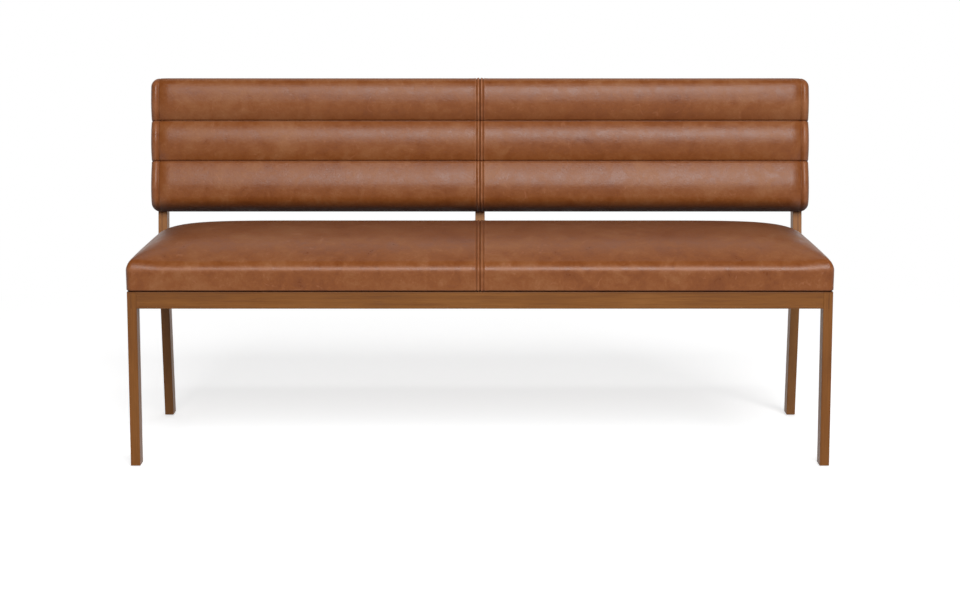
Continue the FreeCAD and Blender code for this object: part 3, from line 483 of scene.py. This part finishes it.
def outline_ring(across, along, half_x, half_y, radius, inset):
    """Points round a rounded rectangle less an inset, one for each border grid line.

    Runs front, right, back, left. The radius is a pair: front corners, back corners.
    """
    front_x, front_in = along_edge(across, across[-1], half_x, radius[0], inset)
    back_x, back_in = along_edge(across, across[-1], half_x, radius[1], inset)
    corner = np.where(along < 0, *radius)
    side_y, side_in = along_edge(along, along[-1], half_y, corner, inset)
    edge_x = half_x - inset
    edge_y = half_y - inset
    front = np.stack([front_x, front_in - edge_y], 1)[:-1]
    right = np.stack([edge_x - side_in, side_y], 1)[:-1]
    back = np.stack([back_x, edge_y - back_in], 1)[:0:-1]
    left = np.stack([side_in - edge_x, side_y], 1)[:0:-1]
    return np.concatenate([front, right, back, left])


def cushion_faces(count_x, count_y, rings):
    """Faces of a closed cushion: a grid on top, rings down its sides, a flat underside."""
    grid = np.arange(count_x * count_y).reshape(count_x, count_y)
    border = np.concatenate([grid[:-1, 0], grid[-1, :-1], grid[:0:-1, -1], grid[0, :0:-1]])
    size = len(border)
    walls = grid.size + np.arange(rings * size).reshape(rings, size)
    levels = np.concatenate([border[None], walls])
    after = np.roll(levels, -1, axis=1)
    top = np.stack([grid[:-1, :-1], grid[1:, :-1], grid[1:, 1:], grid[:-1, 1:]], -1)
    side = np.stack([levels[1:], after[1:], after[:-1], levels[:-1]], -1)
    foot = levels[-1]
    back = 2 * count_x + count_y - 3
    columns = np.arange(1, count_x - 2)
    under = np.stack([
        foot[columns], foot[back - columns], foot[back - columns - 1], foot[columns + 1]], -1)
    left_end = np.concatenate([foot[back - 1:], foot[:2]])[::-1]
    right_end = foot[count_x - 2:count_x + count_y][::-1]
    quads = np.concatenate([top.reshape(-1, 4), side.reshape(-1, 4), under]).tolist()
    return quads + [left_end.tolist(), right_end.tolist()]


seat_middle = (SEAT_FRONT + SEAT_BACK) / 2
seat_half_depth = (SEAT_BACK - SEAT_FRONT) / 2


def away_from_ends(x):
    """0 within 10 mm of an end, 1 from 70 mm on, and an even change between."""
    return np.clip((SEAT_HALF - PLAIN_ENDS[0] - np.abs(x)) / PLAIN_ENDS[1], 0, 1)


def seat_rise(x, y):
    """The crown's height over the shoulder.

    From the ends and from the edges the height grows as 1 - (1 - distance / reach) ** power,
    and both join as (the mean of their inverse squares) ** -0.5. Just behind the front edge
    it starts softly, by 1 - (1 + distance / FRONT_SOFT) ** -2.
    """
    from_end = np.clip((SEAT_HALF - END_RISE[0] - np.abs(x)) / END_RISE[1], 1e-4, 1)
    from_edge = seat_half_depth - EDGE_RISE[0] - np.abs(y - seat_middle)
    from_edge = np.clip(from_edge / EDGE_RISE[1], 1e-4, 1)
    ends = 1 - (1 - from_end) ** END_RISE[2]
    edges = 1 - (1 - from_edge) ** EDGE_RISE[2]
    behind = np.maximum(y - SEAT_FRONT, 0)
    soft = 1 - away_from_ends(x) * (1 + behind / FRONT_SOFT) ** -2
    return SEAT_CROWN * ((ends ** -2 + edges ** -2) / 2) ** -0.5 * soft


def front_drop(x, y):
    """How far the front edge is pulled down by its cover: FRONT_DROP[1] at the edge, and a
    smooth step to nothing over FRONT_DROP[0]."""
    share = np.clip((y - SEAT_FRONT) / FRONT_DROP[0], 0, 1)
    return away_from_ends(x) * FRONT_DROP[1] * (1 - share ** 2 * (3 - 2 * share))


def seat_form(across, along):
    """The cushion's points: the crown on top, then rings over the roll, a quarter circle,
    down the sides, drawn in by half a cosine, round the hem, another quarter circle that
    stands clear of the rail, and under the board."""
    x, y = np.meshgrid(across, along + seat_middle, indexing="ij")
    top_z = SEAT_SHOULDER + SEAT_ROLL + seat_rise(x, y) - front_drop(x, y)
    top = np.stack([x, y, top_z], -1).reshape(-1, 3)
    roll = np.radians(np.linspace(0, 90, 9))
    side = np.linspace(0, 1, 12)[1:]
    foot = np.radians(np.linspace(0, 90, 5))[1:]
    hem = SEAT_FOOT + FOOT_LIFT
    side_z = SEAT_SHOULDER + side * (hem + FOOT_ROLL - SEAT_SHOULDER)
    insets = np.concatenate([
        SEAT_SHELF, SEAT_ROLL * (1 - np.sin(roll)), SEAT_DRAW * (1 - np.cos(np.pi * side)) / 2,
        SEAT_DRAW + FOOT_ROLL * (1 - np.cos(foot)), SEAT_UNDER])
    heights = np.concatenate([
        np.full(len(SEAT_SHELF), SEAT_SHOULDER + SEAT_ROLL),
        SEAT_SHOULDER + SEAT_ROLL * np.cos(roll), side_z, hem + FOOT_ROLL * (1 - np.sin(foot)),
        [hem, hem - 0.001], np.full(3, SEAT_FOOT), [SEAT_FOOT + SEAT_HOLLOW]])
    upper = len(SEAT_SHELF) + len(roll)
    crowned = np.concatenate([np.ones(upper), np.zeros(len(insets) - upper)])
    corners = (SEAT_CORNER, SEAT_CORNER)
    rings = []
    for inset, height, share in zip(insets, heights, crowned):
        ring = outline_ring(across, along, SEAT_HALF, seat_half_depth, corners, inset)
        ring = ring + (0, seat_middle)
        rise = share * seat_rise(ring[:, 0], ring[:, 1])
        lower = np.clip((SEAT_SHOULDER - height) / (SEAT_SHOULDER - hem), 0, 1)
        drop = front_drop(ring[:, 0], ring[:, 1]) * (1 - lower)
        rings.append(np.column_stack([ring, height + rise - drop]))
    return np.concatenate([top] + rings), cushion_faces(len(across), len(along), len(rings))


def pressed(piece, amounts):
    """Moves each point of a piece along its own normal by an amount."""
    mesh = piece.data
    count = len(mesh.vertices)
    points = np.empty(count * 3)
    normals = np.empty(count * 3, np.float32)
    mesh.vertices.foreach_get("co", points)
    mesh.vertices.foreach_get("normal", normals)
    moved = points.reshape(-1, 3) + normals.reshape(-1, 3) * amounts[:, None]
    mesh.vertices.foreach_set("co", moved.ravel())
    mesh.update()


def points_of(piece):
    """A piece's points as an array with one row each."""
    points = np.empty(len(piece.data.vertices) * 3)
    piece.data.vertices.foreach_get("co", points)
    return points.reshape(-1, 3)


# The middle seam, as rows of height, distance from the join and width: two folded allowances
# that stand proud, the join and a stitched groove on each side. It has painted shade in the
# join and the grooves, and painted highlights on its folds and just beyond the stitches.
STITCH_LINE = 0.0078
SEAM_RELIEF = ((0.0014, 0.0039, 0.0023), (0.0005, 0.0112, 0.0024), (-0.0020, 0.0, 0.0011),
               (-0.0012, STITCH_LINE, 0.0011))
SEAM_SHADE = ((0.5, 0.0, 0.0011), (0.25, STITCH_LINE, 0.0010))
SEAM_HIGHLIGHT = ((1.25, 0.0038, 0.0014), (0.6, 0.0105, 0.0012))


def hump(distance, width):
    """A bell-shaped bump, exp(-(distance / width) ** 2)."""
    return np.exp(-(distance / width) ** 2)


def humps(x, rows):
    """The sum of each row's height times a bump at its distance on both sides of x = 0."""
    return sum(height * hump(np.abs(x) - place, width) for height, place, width in rows)


def marked(piece, name, values):
    """Stores one number for each point, for the leather's tone."""
    attribute = piece.data.attributes.new(name, "FLOAT", "POINT")
    attribute.data.foreach_set("value", values.astype(np.float32))


def round_border(across, along):
    """How far round the border of its grid each point of a ring stands: along the front,
    then the right side, the back and the left side."""
    right = across - across[0]
    back = along - along[0]
    wide, deep = right[-1], back[-1]
    return np.concatenate([right[:-1], wide + back[:-1], 2 * wide + deep - right[:0:-1],
                           2 * (wide + deep) - back[:0:-1]])


def reading(fine, coarse):
    """Weights that read values kept at coarse places at the places of fine ones."""
    return np.stack([np.interp(fine, coarse, row) for row in np.eye(len(coarse))], 1)


def carried_over(moves, coarse, fine):
    """The moves of a coarse cushion's points, read at the points of a finer one: along both
    directions of its grid, then along each ring."""
    border = round_border(*coarse)
    count = len(coarse[0]) * len(coarse[1])
    top = moves[:count].reshape(len(coarse[0]), len(coarse[1]), 3)
    weights = [reading(new, old) for new, old in zip(fine, coarse)]
    top = np.einsum("ia,jb,abk->ijk", *weights, top, optimize=True)
    closed = np.append(border, 2 * (np.ptp(coarse[0]) + np.ptp(coarse[1])))
    around = reading(round_border(*fine), closed)
    around[:, 0] += around[:, -1]
    rings = moves[count:].reshape(-1, len(border), 3)
    rings = np.einsum("ia,rak->rik", around[:, :-1], rings)
    return np.concatenate([top.reshape(-1, 3), rings.reshape(-1, 3)])


SWELL_FRAMES = 20
COVER = {"quality": 5, "mass": 0.3, "tension_stiffness": 80, "compression_stiffness": 80,
         "shear_stiffness": 40, "bending_stiffness": 20, "use_pressure": True,
         "uniform_pressure_force": 4, "vertex_group_mass": "held"}


def swollen(form, coarse, held, share, cap):
    """How each point of a coarse cushion moves while its cover swells.

    Twenty frames of cloth simulation without gravity, pinned where held is true. Firm foam
    lets only a share of the moves show, and no point moves further than the cap.
    """
    trial = new_piece("trial_cushion", *form(*coarse), leather)
    points = points_of(trial)
    pinned = np.flatnonzero(held(*points.T)).tolist()
    trial.vertex_groups.new(name="held").add(pinned, 1.0, "REPLACE")
    cloth = trial.modifiers.new("cover", "CLOTH")
    cloth.point_cache.frame_end = SWELL_FRAMES
    cloth.settings.effector_weights.gravity = 0
    for name, setting in COVER.items():
        setattr(cloth.settings, name, setting)
    for step in range(1, SWELL_FRAMES + 1):
        bpy.context.scene.frame_set(step)
    grown = np.empty(points.size)
    shaped = trial.evaluated_get(bpy.context.evaluated_depsgraph_get())
    shaped.data.vertices.foreach_get("co", grown)
    bpy.context.scene.frame_set(1)
    bpy.data.objects.remove(trial)
    moves = share * (grown.reshape(-1, 3) - points)
    lengths = np.linalg.norm(moves, axis=1, keepdims=True)
    return moves * np.minimum(cap / np.maximum(lengths, 1e-9), 1)


BOARD_THICKNESS = 0.012


def seat_held(x, y, z):
    """The cover is held below the board's top, where it is stapled."""
    return z < SEAT_FOOT + BOARD_THICKNESS


# Steps of the seat's grid along its middle and near its ends, for the shown mesh and for the
# coarse one that swells, and the share and the cap of the swelling.
SEAT_STEPS = ((0.006, 0.002), (0.006, 0.0025))
SEAT_COARSE = (0.012, 0.008)
SEAT_SWELL = (0.04, 0.003)
seat_reach = (SEAT_HALF - SEAT_INNER, seat_half_depth - SEAT_INNER)
seat_lines = (seam_grid_lines(seat_reach[0], *SEAT_STEPS[0]),
              grid_lines(seat_reach[1], *SEAT_STEPS[1]))
seat_points, seat_faces = seat_form(*seat_lines)
seat_coarse = [grid_lines(reach, *SEAT_COARSE) for reach in seat_reach]
seat_moves = swollen(seat_form, seat_coarse, seat_held, *SEAT_SWELL)
seat_points = seat_points + carried_over(seat_moves, seat_coarse, seat_lines)
seat = new_piece("seat_cushion", seat_points, seat_faces, leather)
seat_x, seat_y, seat_z = seat_points.T
pressed(seat, humps(seat_x, SEAM_RELIEF))

# Tone of the seat: painted shade round its hem and towards the back, where the pad shades
# it, and painted highlights along its upper edge and along the seam.
HEM_TOP = SEAT_FOOT + FOOT_LIFT + 0.002
hem_shade = 0.9 * np.clip((HEM_TOP - seat_z) / 0.0015, 0, 1)
back_shade = 0.36 * away_from_ends(seat_x) * np.clip((seat_y - SEAT_FRONT - 0.08) / 0.17, 0, 1)
marked(seat, "painted_shade", np.maximum(0.65 * humps(seat_x, SEAM_SHADE), hem_shade + back_shade))
# Painted highlights on the seat's front roll and on the seam's folds.
marked(seat, "painted_highlight", 0.6 * hump(seat_z - 0.435, 0.005) + 0.45 * humps(seat_x, SEAM_HIGHLIGHT))
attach(seat, "root")
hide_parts("seat_cover_left", "seat_cover_right", "seat_foam")


# ---- Topstitching: two rows of waxed brown thread, of two twisted plies, which hold the
# folded allowances of the middle seam down. The seat's rows come first, the pad's after it.

def bonded_thread():
    """Bands of light and dark along the thread, slightly lighter than the leather's grooves."""
    material, place = new_material("bonded_thread")
    plies = place.add("TexWave", {"Vector": place, "Scale": 900, "Distortion": 2.0}, 1)
    bump = plies.add("Bump", {"Height": plies, "Strength": 0.4, "Distance": 0.0001})
    surfaced(place, place.add("BsdfPrincipled", {
        "Base Color": plies.colour(light_of(84, 42, 20), light_of(128, 74, 40)),
        "Roughness": plies * 0.1 + 0.4, "Normal": bump}))
    return material


thread = bonded_thread()
STITCH_PITCH = 0.0055
STITCH_MARGIN = 0.003
STITCH_LENGTHS = (-0.002, -0.0016, 0.0016, 0.002)
STITCH_RADII = (0.0002, 0.00045, 0.00045, 0.0002)


def topstitching(name, path):
    """Two rows of stitches beside the middle seam, along a path of (y, z) points.

    A stitch is a closed tube of six sides, 4 mm long and 0.9 mm thick, every 5.5 mm. Its
    rings stand across the path's own direction there.
    """
    steps = np.hypot(*np.diff(path, axis=0).T)
    travelled = np.concatenate([[0], np.cumsum(steps)])
    places = np.arange(STITCH_MARGIN, travelled[-1] - STITCH_MARGIN, STITCH_PITCH)
    middle, ahead = [np.stack([np.interp(places + step, travelled, part) for part in path.T], 1)
                     for step in (0, 0.0005)]
    tangent = (ahead - middle) / np.linalg.norm(ahead - middle, axis=1, keepdims=True)
    normal = np.stack([tangent[:, 1], -tangent[:, 0]], 1)
    turn = np.radians(np.arange(0, 360, 60))
    lengths = np.array(STITCH_LENGTHS)[:, None, None]
    radii = np.array(STITCH_RADII)[:, None]
    outward = (radii * np.sin(turn))[..., None] * normal[:, None, None]
    forward = middle[:, None, None] + lengths * tangent[:, None, None] + outward
    rows = []
    for row in (-STITCH_LINE, STITCH_LINE):
        across = row + radii * np.cos(turn) + 0 * places[:, None, None]
        rows.append(np.concatenate([across[..., None], forward], -1))
    points = np.stack(rows).reshape(-1, 3)
    ring = np.arange(6)
    after = np.roll(ring, -1)
    tube = [quad for level in (0, 6, 12) for quad in np.stack([
        level + ring, level + after, level + 6 + after, level + 6 + ring], 1)]
    tube += [ring[::-1], 18 + ring]
    starts = np.arange(0, len(points), 24)
    faces = [(start + side).tolist() for start in starts for side in tube]
    piece = new_piece(name, points, faces, thread)
    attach(piece, "root")


def stitch_path(piece, lines):
    """A cushion's points on the grid line nearest the stitches, from the back of its front
    face or top, over its front or lower edge and down to where it turns under."""
    line = np.abs(lines[0] - STITCH_LINE).argmin()
    points = points_of(piece)
    count = len(lines[0]) * len(lines[1])
    border = len(round_border(*lines))
    top = points[:count].reshape(len(lines[0]), len(lines[1]), 3)[line, ::-1]
    return np.concatenate([top, points[count:].reshape(-1, border, 3)[:, line]])[:, 1:]


seat_path = stitch_path(seat, seat_lines)
topstitching("seat_topstitching", seat_path[seat_path[:, 1] > SEAT_FOOT + FOOT_LIFT + FOOT_ROLL])


# ---- Back pad: three channels of foam on a plywood board, under one leather cover that is
# sewn down along two level lines, joined down the middle and turned in behind the board.

PAD_HALF = 0.7735
PAD_HEIGHT = 0.3134
PAD_DEPTH = 0.054
PAD_BOW = 0.013
PAD_ROLL = 0.013
PAD_CORNERS = (0.017, 0.021)
PAD_LEAN = 0.153083
PAD_FOOT = (0.21487, 0.501)
COVER_THICKNESS = 0.0012

# Heights of the sewn lines, and how full each channel is below and above its middle.
CHANNELS = (0.0, 0.1175, 0.2120, 0.3134)
FULLNESS = ((2.0, 1.75), (2.0, 2.3), (2.0, 3.0))

# The lower edge's thinning and the dip to the end seam, as a reach and a depth, and the ridge
# beyond that seam, as its width and the share of the dip that it takes back.
LOWER_ROLL = (0.034, 0.018)
END_SEAM = 0.019
END_DIP = (0.026, 0.005)
END_RIDGE = (0.008, 0.6)

# Insets of the pad's rings before its roll, the roll at its rear, and the rings behind it.
PAD_INNER = 0.024
PAD_SHELF = (0.022, 0.0207, 0.02, 0.0195, 0.019, 0.0185, 0.018, 0.0172, 0.016, 0.0146)
REAR_ROLL = 0.004
PAD_BEHIND = (0.014, 0.022, 0.028, 0.0285)
PAD_HOLLOW = 0.004
lean_angle = math.atan(PAD_LEAN)


def leant(points):
    """From the pad's own upright frame, rear face at Y zero, to its place on the posts: a
    turn by the lean about X, then a shift to PAD_FOOT."""
    x, y, z = np.asarray(points).T
    turn_y = y * math.cos(lean_angle) + z * math.sin(lean_angle)
    turn_z = z * math.cos(lean_angle) - y * math.sin(lean_angle)
    return np.stack([x, PAD_FOOT[0] + turn_y, PAD_FOOT[1] + turn_z], 1)


def pad_front(x, height):
    """Depth of the pad's front before its edges turn.

    Each channel bows out as 1 - |u| ** fullness, u from -1 to 1 over its height. Towards the
    lower edge the foam thins as the square of the way into that margin. It does so too
    towards a seam near each end, where the front panel meets the end panel, which stands up
    again beyond the seam by a smooth step.
    """
    channel = np.clip(np.searchsorted(CHANNELS, height, side="right"), 1, 3)
    low = np.take(CHANNELS, channel - 1)
    high = np.take(CHANNELS, channel)
    u = np.clip(2 * (height - low) / (high - low) - 1, -1, 1)
    lower = np.clip(1 - height / LOWER_ROLL[0], 0, 1) ** 2
    inside = PAD_HALF - np.abs(x) - END_SEAM
    ends = np.clip(1 - inside / END_DIP[0], 0, 1) ** 2
    ridge = np.clip(-inside / END_RIDGE[0], 0, 1)
    ends = np.where(inside > 0, ends, 1 - END_RIDGE[1] * ridge ** 2 * (3 - 2 * ridge))
    fullness = np.array(FULLNESS)[channel - 1, (u > 0).astype(int)]
    bow = PAD_BOW * np.abs(u) ** fullness
    return PAD_DEPTH - bow - LOWER_ROLL[1] * lower - END_DIP[1] * ends


def pad_form(across, up):
    """The pad's points: its channelled front, then rings over the rolled edges, a quarter
    circle, straight back along the sides, round the rear edge, a smaller quarter circle, and
    behind the board."""
    middle = PAD_HEIGHT / 2
    x, z = np.meshgrid(across, up + middle, indexing="ij")
    front = np.stack([x, -pad_front(x, z), z], -1).reshape(-1, 3)
    roll = np.radians(np.linspace(0, 90, 9))
    side = np.linspace(0, 1, 10)[1:]
    rear = np.radians(np.linspace(0, 90, 5))[1:]
    insets = np.concatenate([
        PAD_SHELF, PAD_ROLL * (1 - np.sin(roll)), np.zeros(len(side)),
        REAR_ROLL * (1 - np.cos(rear)), PAD_BEHIND])
    front_rings = len(PAD_SHELF) + len(roll)
    rear_rings = len(rear) + len(PAD_BEHIND)
    rolled = np.concatenate([np.zeros(len(PAD_SHELF)), PAD_ROLL * (1 - np.cos(roll)),
                             np.full(len(side) + rear_rings, PAD_ROLL)])
    sunk = np.concatenate([np.zeros(front_rings), side, np.ones(rear_rings)])
    rear_depth = np.concatenate([
        np.full(front_rings + len(side), COVER_THICKNESS + REAR_ROLL),
        COVER_THICKNESS + REAR_ROLL * (1 - np.sin(rear)),
        np.full(len(PAD_BEHIND) - 1, COVER_THICKNESS), [PAD_HOLLOW]])
    rings = []
    for inset, drop, share, last in zip(insets, rolled, sunk, rear_depth):
        ring = outline_ring(across, up, PAD_HALF, middle, PAD_CORNERS, inset)
        height = ring[:, 1] + middle
        depth = pad_front(ring[:, 0], height) - drop
        depth = depth * (1 - share) + last * share
        rings.append(np.column_stack([ring[:, 0], -depth, height]))
    return np.concatenate([front] + rings), cushion_faces(len(across), len(up), len(rings))


CHANNEL_LINES = np.array([0, .0006, .0013, .002, .003, .0042, .006, .0085, .012])


def channel_lines(half, step, fine):
    """As grid_lines, with lines close together beside both sewn lines."""
    middle = PAD_HEIGHT / 2
    near = np.concatenate([-CHANNEL_LINES[:0:-1], CHANNEL_LINES])
    lines = grid_lines(half, step, fine)
    for height in CHANNELS[1:3]:
        lines = lines[np.abs(lines - (height - middle)) > near[-1] + 0.002]
        lines = np.concatenate([lines, near + height - middle])
    return np.sort(lines)


def pad_held(x, y, z):
    """The cover is held behind, along both sewn lines and along the seams at the ends."""
    sewn_line = np.min(np.abs(z[:, None] - CHANNELS[1:3]), axis=1) < 0.0012
    return (y > -0.02) | sewn_line | (np.abs(np.abs(x) - PAD_HALF + END_SEAM) < 0.003)


# Steps of the pad's grid along its length and over its height, for the shown mesh and for the
# coarse one that swells, and the share and the cap of the swelling.
PAD_STEPS = ((0.006, 0.002), (0.004, 0.0025))
PAD_COARSE = ((0.012, 0.008), (0.008, 0.006))
PAD_SWELL = (0.15, 0.0015)
pad_reach = (PAD_HALF - PAD_INNER, PAD_HEIGHT / 2 - PAD_INNER)
pad_lines = (seam_grid_lines(pad_reach[0], *PAD_STEPS[0]),
             channel_lines(pad_reach[1], *PAD_STEPS[1]))
pad_points, pad_faces = pad_form(*pad_lines)
pad_coarse = (grid_lines(pad_reach[0], *PAD_COARSE[0]),
              channel_lines(pad_reach[1], *PAD_COARSE[1]))
pad_moves = swollen(pad_form, pad_coarse, pad_held, *PAD_SWELL)
pad_points = pad_points + carried_over(pad_moves, pad_coarse, pad_lines)
pad = new_piece("back_pad", leant(pad_points), pad_faces, leather)
pad_x, pad_y, pad_z = pad_points.T

# Seams pressed into the front and the sides: the middle seam, the sewn lines, half as deep
# on the sides, and the seams near the ends.
SEWN_DEPTH = 0.003
END_SEAM_DEPTH = 0.0008
shown = np.clip((-pad_y - 0.006) / 0.01, 0, 1)
sewn = sum(hump(pad_z - height, 0.0014) for height in CHANNELS[1:3])
end_seam = hump(PAD_HALF - END_SEAM - np.abs(pad_x), 0.0011)
sewn_depth = SEWN_DEPTH * sewn * (1 - 0.5 * (pad_y > -0.03))
pressed(pad, shown * (humps(pad_x, SEAM_RELIEF) - sewn_depth - END_SEAM_DEPTH * end_seam))

# Tone of the pad: painted shade under its lower edge, in its seams and low on the top
# channel, and painted highlights on the ridges at its ends and along the middle seam.
# Painted shade on the underside of the lower edge.
under = np.clip(1.15 - pad_z / 0.0215, 0, 1)
painted_low_shade = 0.22 * np.clip((0.244 - pad_z) / 0.03, 0, 1) * (pad_z > CHANNELS[2])
painted_seam_shade = np.maximum(humps(pad_x, SEAM_SHADE), 0.14 * sewn + 0.2 * end_seam)
painted_end_highlight = 0.6 * hump(PAD_HALF - 0.0085 - np.abs(pad_x), 0.006)
marked(pad, "painted_shade", np.maximum(under, shown * painted_low_shade + shown * painted_seam_shade))
marked(pad, "painted_highlight", shown * np.maximum(painted_end_highlight, humps(pad_x, SEAM_HIGHLIGHT)))
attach(pad, "root")
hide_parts("back_cover_left", "back_cover_right", "back_foam_lower", "back_foam_middle",
            "back_foam_upper")

# Its stitches end where the cover turns back under the lower edge, 20 rings before the last.
PLAIN_RINGS = 20
topstitching("back_topstitching", stitch_path(pad, pad_lines)[:-PLAIN_RINGS])


# ---- Rear cover: one flat leather panel over the back board's rear, its edge turned in and
# blind-tacked 8 mm inside the pad's outline.

PANEL_INSET = 0.008
PANEL_CORNER = 0.01
PANEL_INNER = 0.012
PANEL_STEPS = (0.012, 0.004)

# Inset and depth of each ring, from the rear face round its softened edge to the inner face.
PANEL_RINGS = ((0.004, 0.0001), (0.0012, 0.0002), (0.0004, 0.0004), (0, 0.0008), (0, 0.0012),
               (0.02, 0.0012))


def panel_form(across, up):
    """A flat closed panel, 1.2 mm thick, with rounded corners: a grid on its rear face, then
    rings round its softened edge."""
    middle = PAD_HEIGHT / 2
    x, z = np.meshgrid(across, up + middle, indexing="ij")
    face = np.stack([x, np.full_like(x, -0.0001), z], -1).reshape(-1, 3)
    rings = []
    for inset, depth in PANEL_RINGS:
        ring = outline_ring(across, up, PAD_HALF - PANEL_INSET, middle - PANEL_INSET,
                            (PANEL_CORNER, PANEL_CORNER), inset)
        level = np.full(len(ring), -depth)
        rings.append(np.column_stack([ring[:, 0], level, ring[:, 1] + middle]))
    points = np.concatenate([face] + rings)
    faces = [face[::-1] for face in cushion_faces(len(across), len(up), len(rings))]
    return points, faces


panel_across = grid_lines(PAD_HALF - PANEL_INSET - PANEL_INNER, *PANEL_STEPS)
panel_up = grid_lines(PAD_HEIGHT / 2 - PANEL_INSET - PANEL_INNER, *PANEL_STEPS)
panel_points, panel_faces = panel_form(panel_across, panel_up)
panel = new_piece("back_rear_panel", leant(panel_points), panel_faces, leather)
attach(panel, "root")
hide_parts("back_rear_cover")


# ---- Dust cloth: thin black non-woven cloth that hides the seat's underside, cut to the space
# inside the rails, with its edges turned and stapled under the seat board.

cloth_material, place = new_material("dust_cloth")
fibres = place.add("TexNoise", {"Vector": place, "Scale": 700, "Detail": 5, "Roughness": 0.7})
dots = place.add("TexVoronoi", {"Vector": place, "Scale": 420}, 0).between(0.2, 0.5)
bump = fibres.add("Bump", {"Height": fibres + dots * 0.6, "Strength": 0.6, "Distance": 0.0003})
surfaced(place, place.add("BsdfPrincipled", {
    "Base Color": fibres.colour(light_of(24, 24, 24), light_of(58, 57, 56)),
    "Roughness": fibres * 0.15 + 0.75, "Normal": bump}))
cloth_low, cloth_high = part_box("seat_dust_cloth")
cloth_half = ((cloth_high - cloth_low) / 2)[:]
cloth_middle = ((cloth_high + cloth_low) / 2)[:]
CLOTH_INNER = 0.002
CLOTH_STEPS = (0.02, 0.01)


def cloth_form(across, along):
    """A thin closed sheet in its CAD solid's space: a grid on top, its edge and its underside."""
    x, y = np.meshgrid(across, along + cloth_middle[1], indexing="ij")
    top = np.stack([x, y, np.full_like(x, cloth_high[2])], -1).reshape(-1, 3)
    edge = outline_ring(across, along, cloth_half[0], cloth_half[1], (0.0, 0.0), 0.0)
    rings = [np.column_stack([edge[:, 0], edge[:, 1] + cloth_middle[1], np.full(len(edge), z)])
             for z in (cloth_high[2], cloth_low[2])]
    return np.concatenate([top] + rings), cushion_faces(len(across), len(along), len(rings))


cloth_points, cloth_faces = cloth_form(*[
    grid_lines(half - CLOTH_INNER, *CLOTH_STEPS) for half in cloth_half[:2]])
cloth = new_piece("dust_cloth_panel", cloth_points, cloth_faces, cloth_material, smooth=False)
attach(cloth, "root")
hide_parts("seat_dust_cloth")
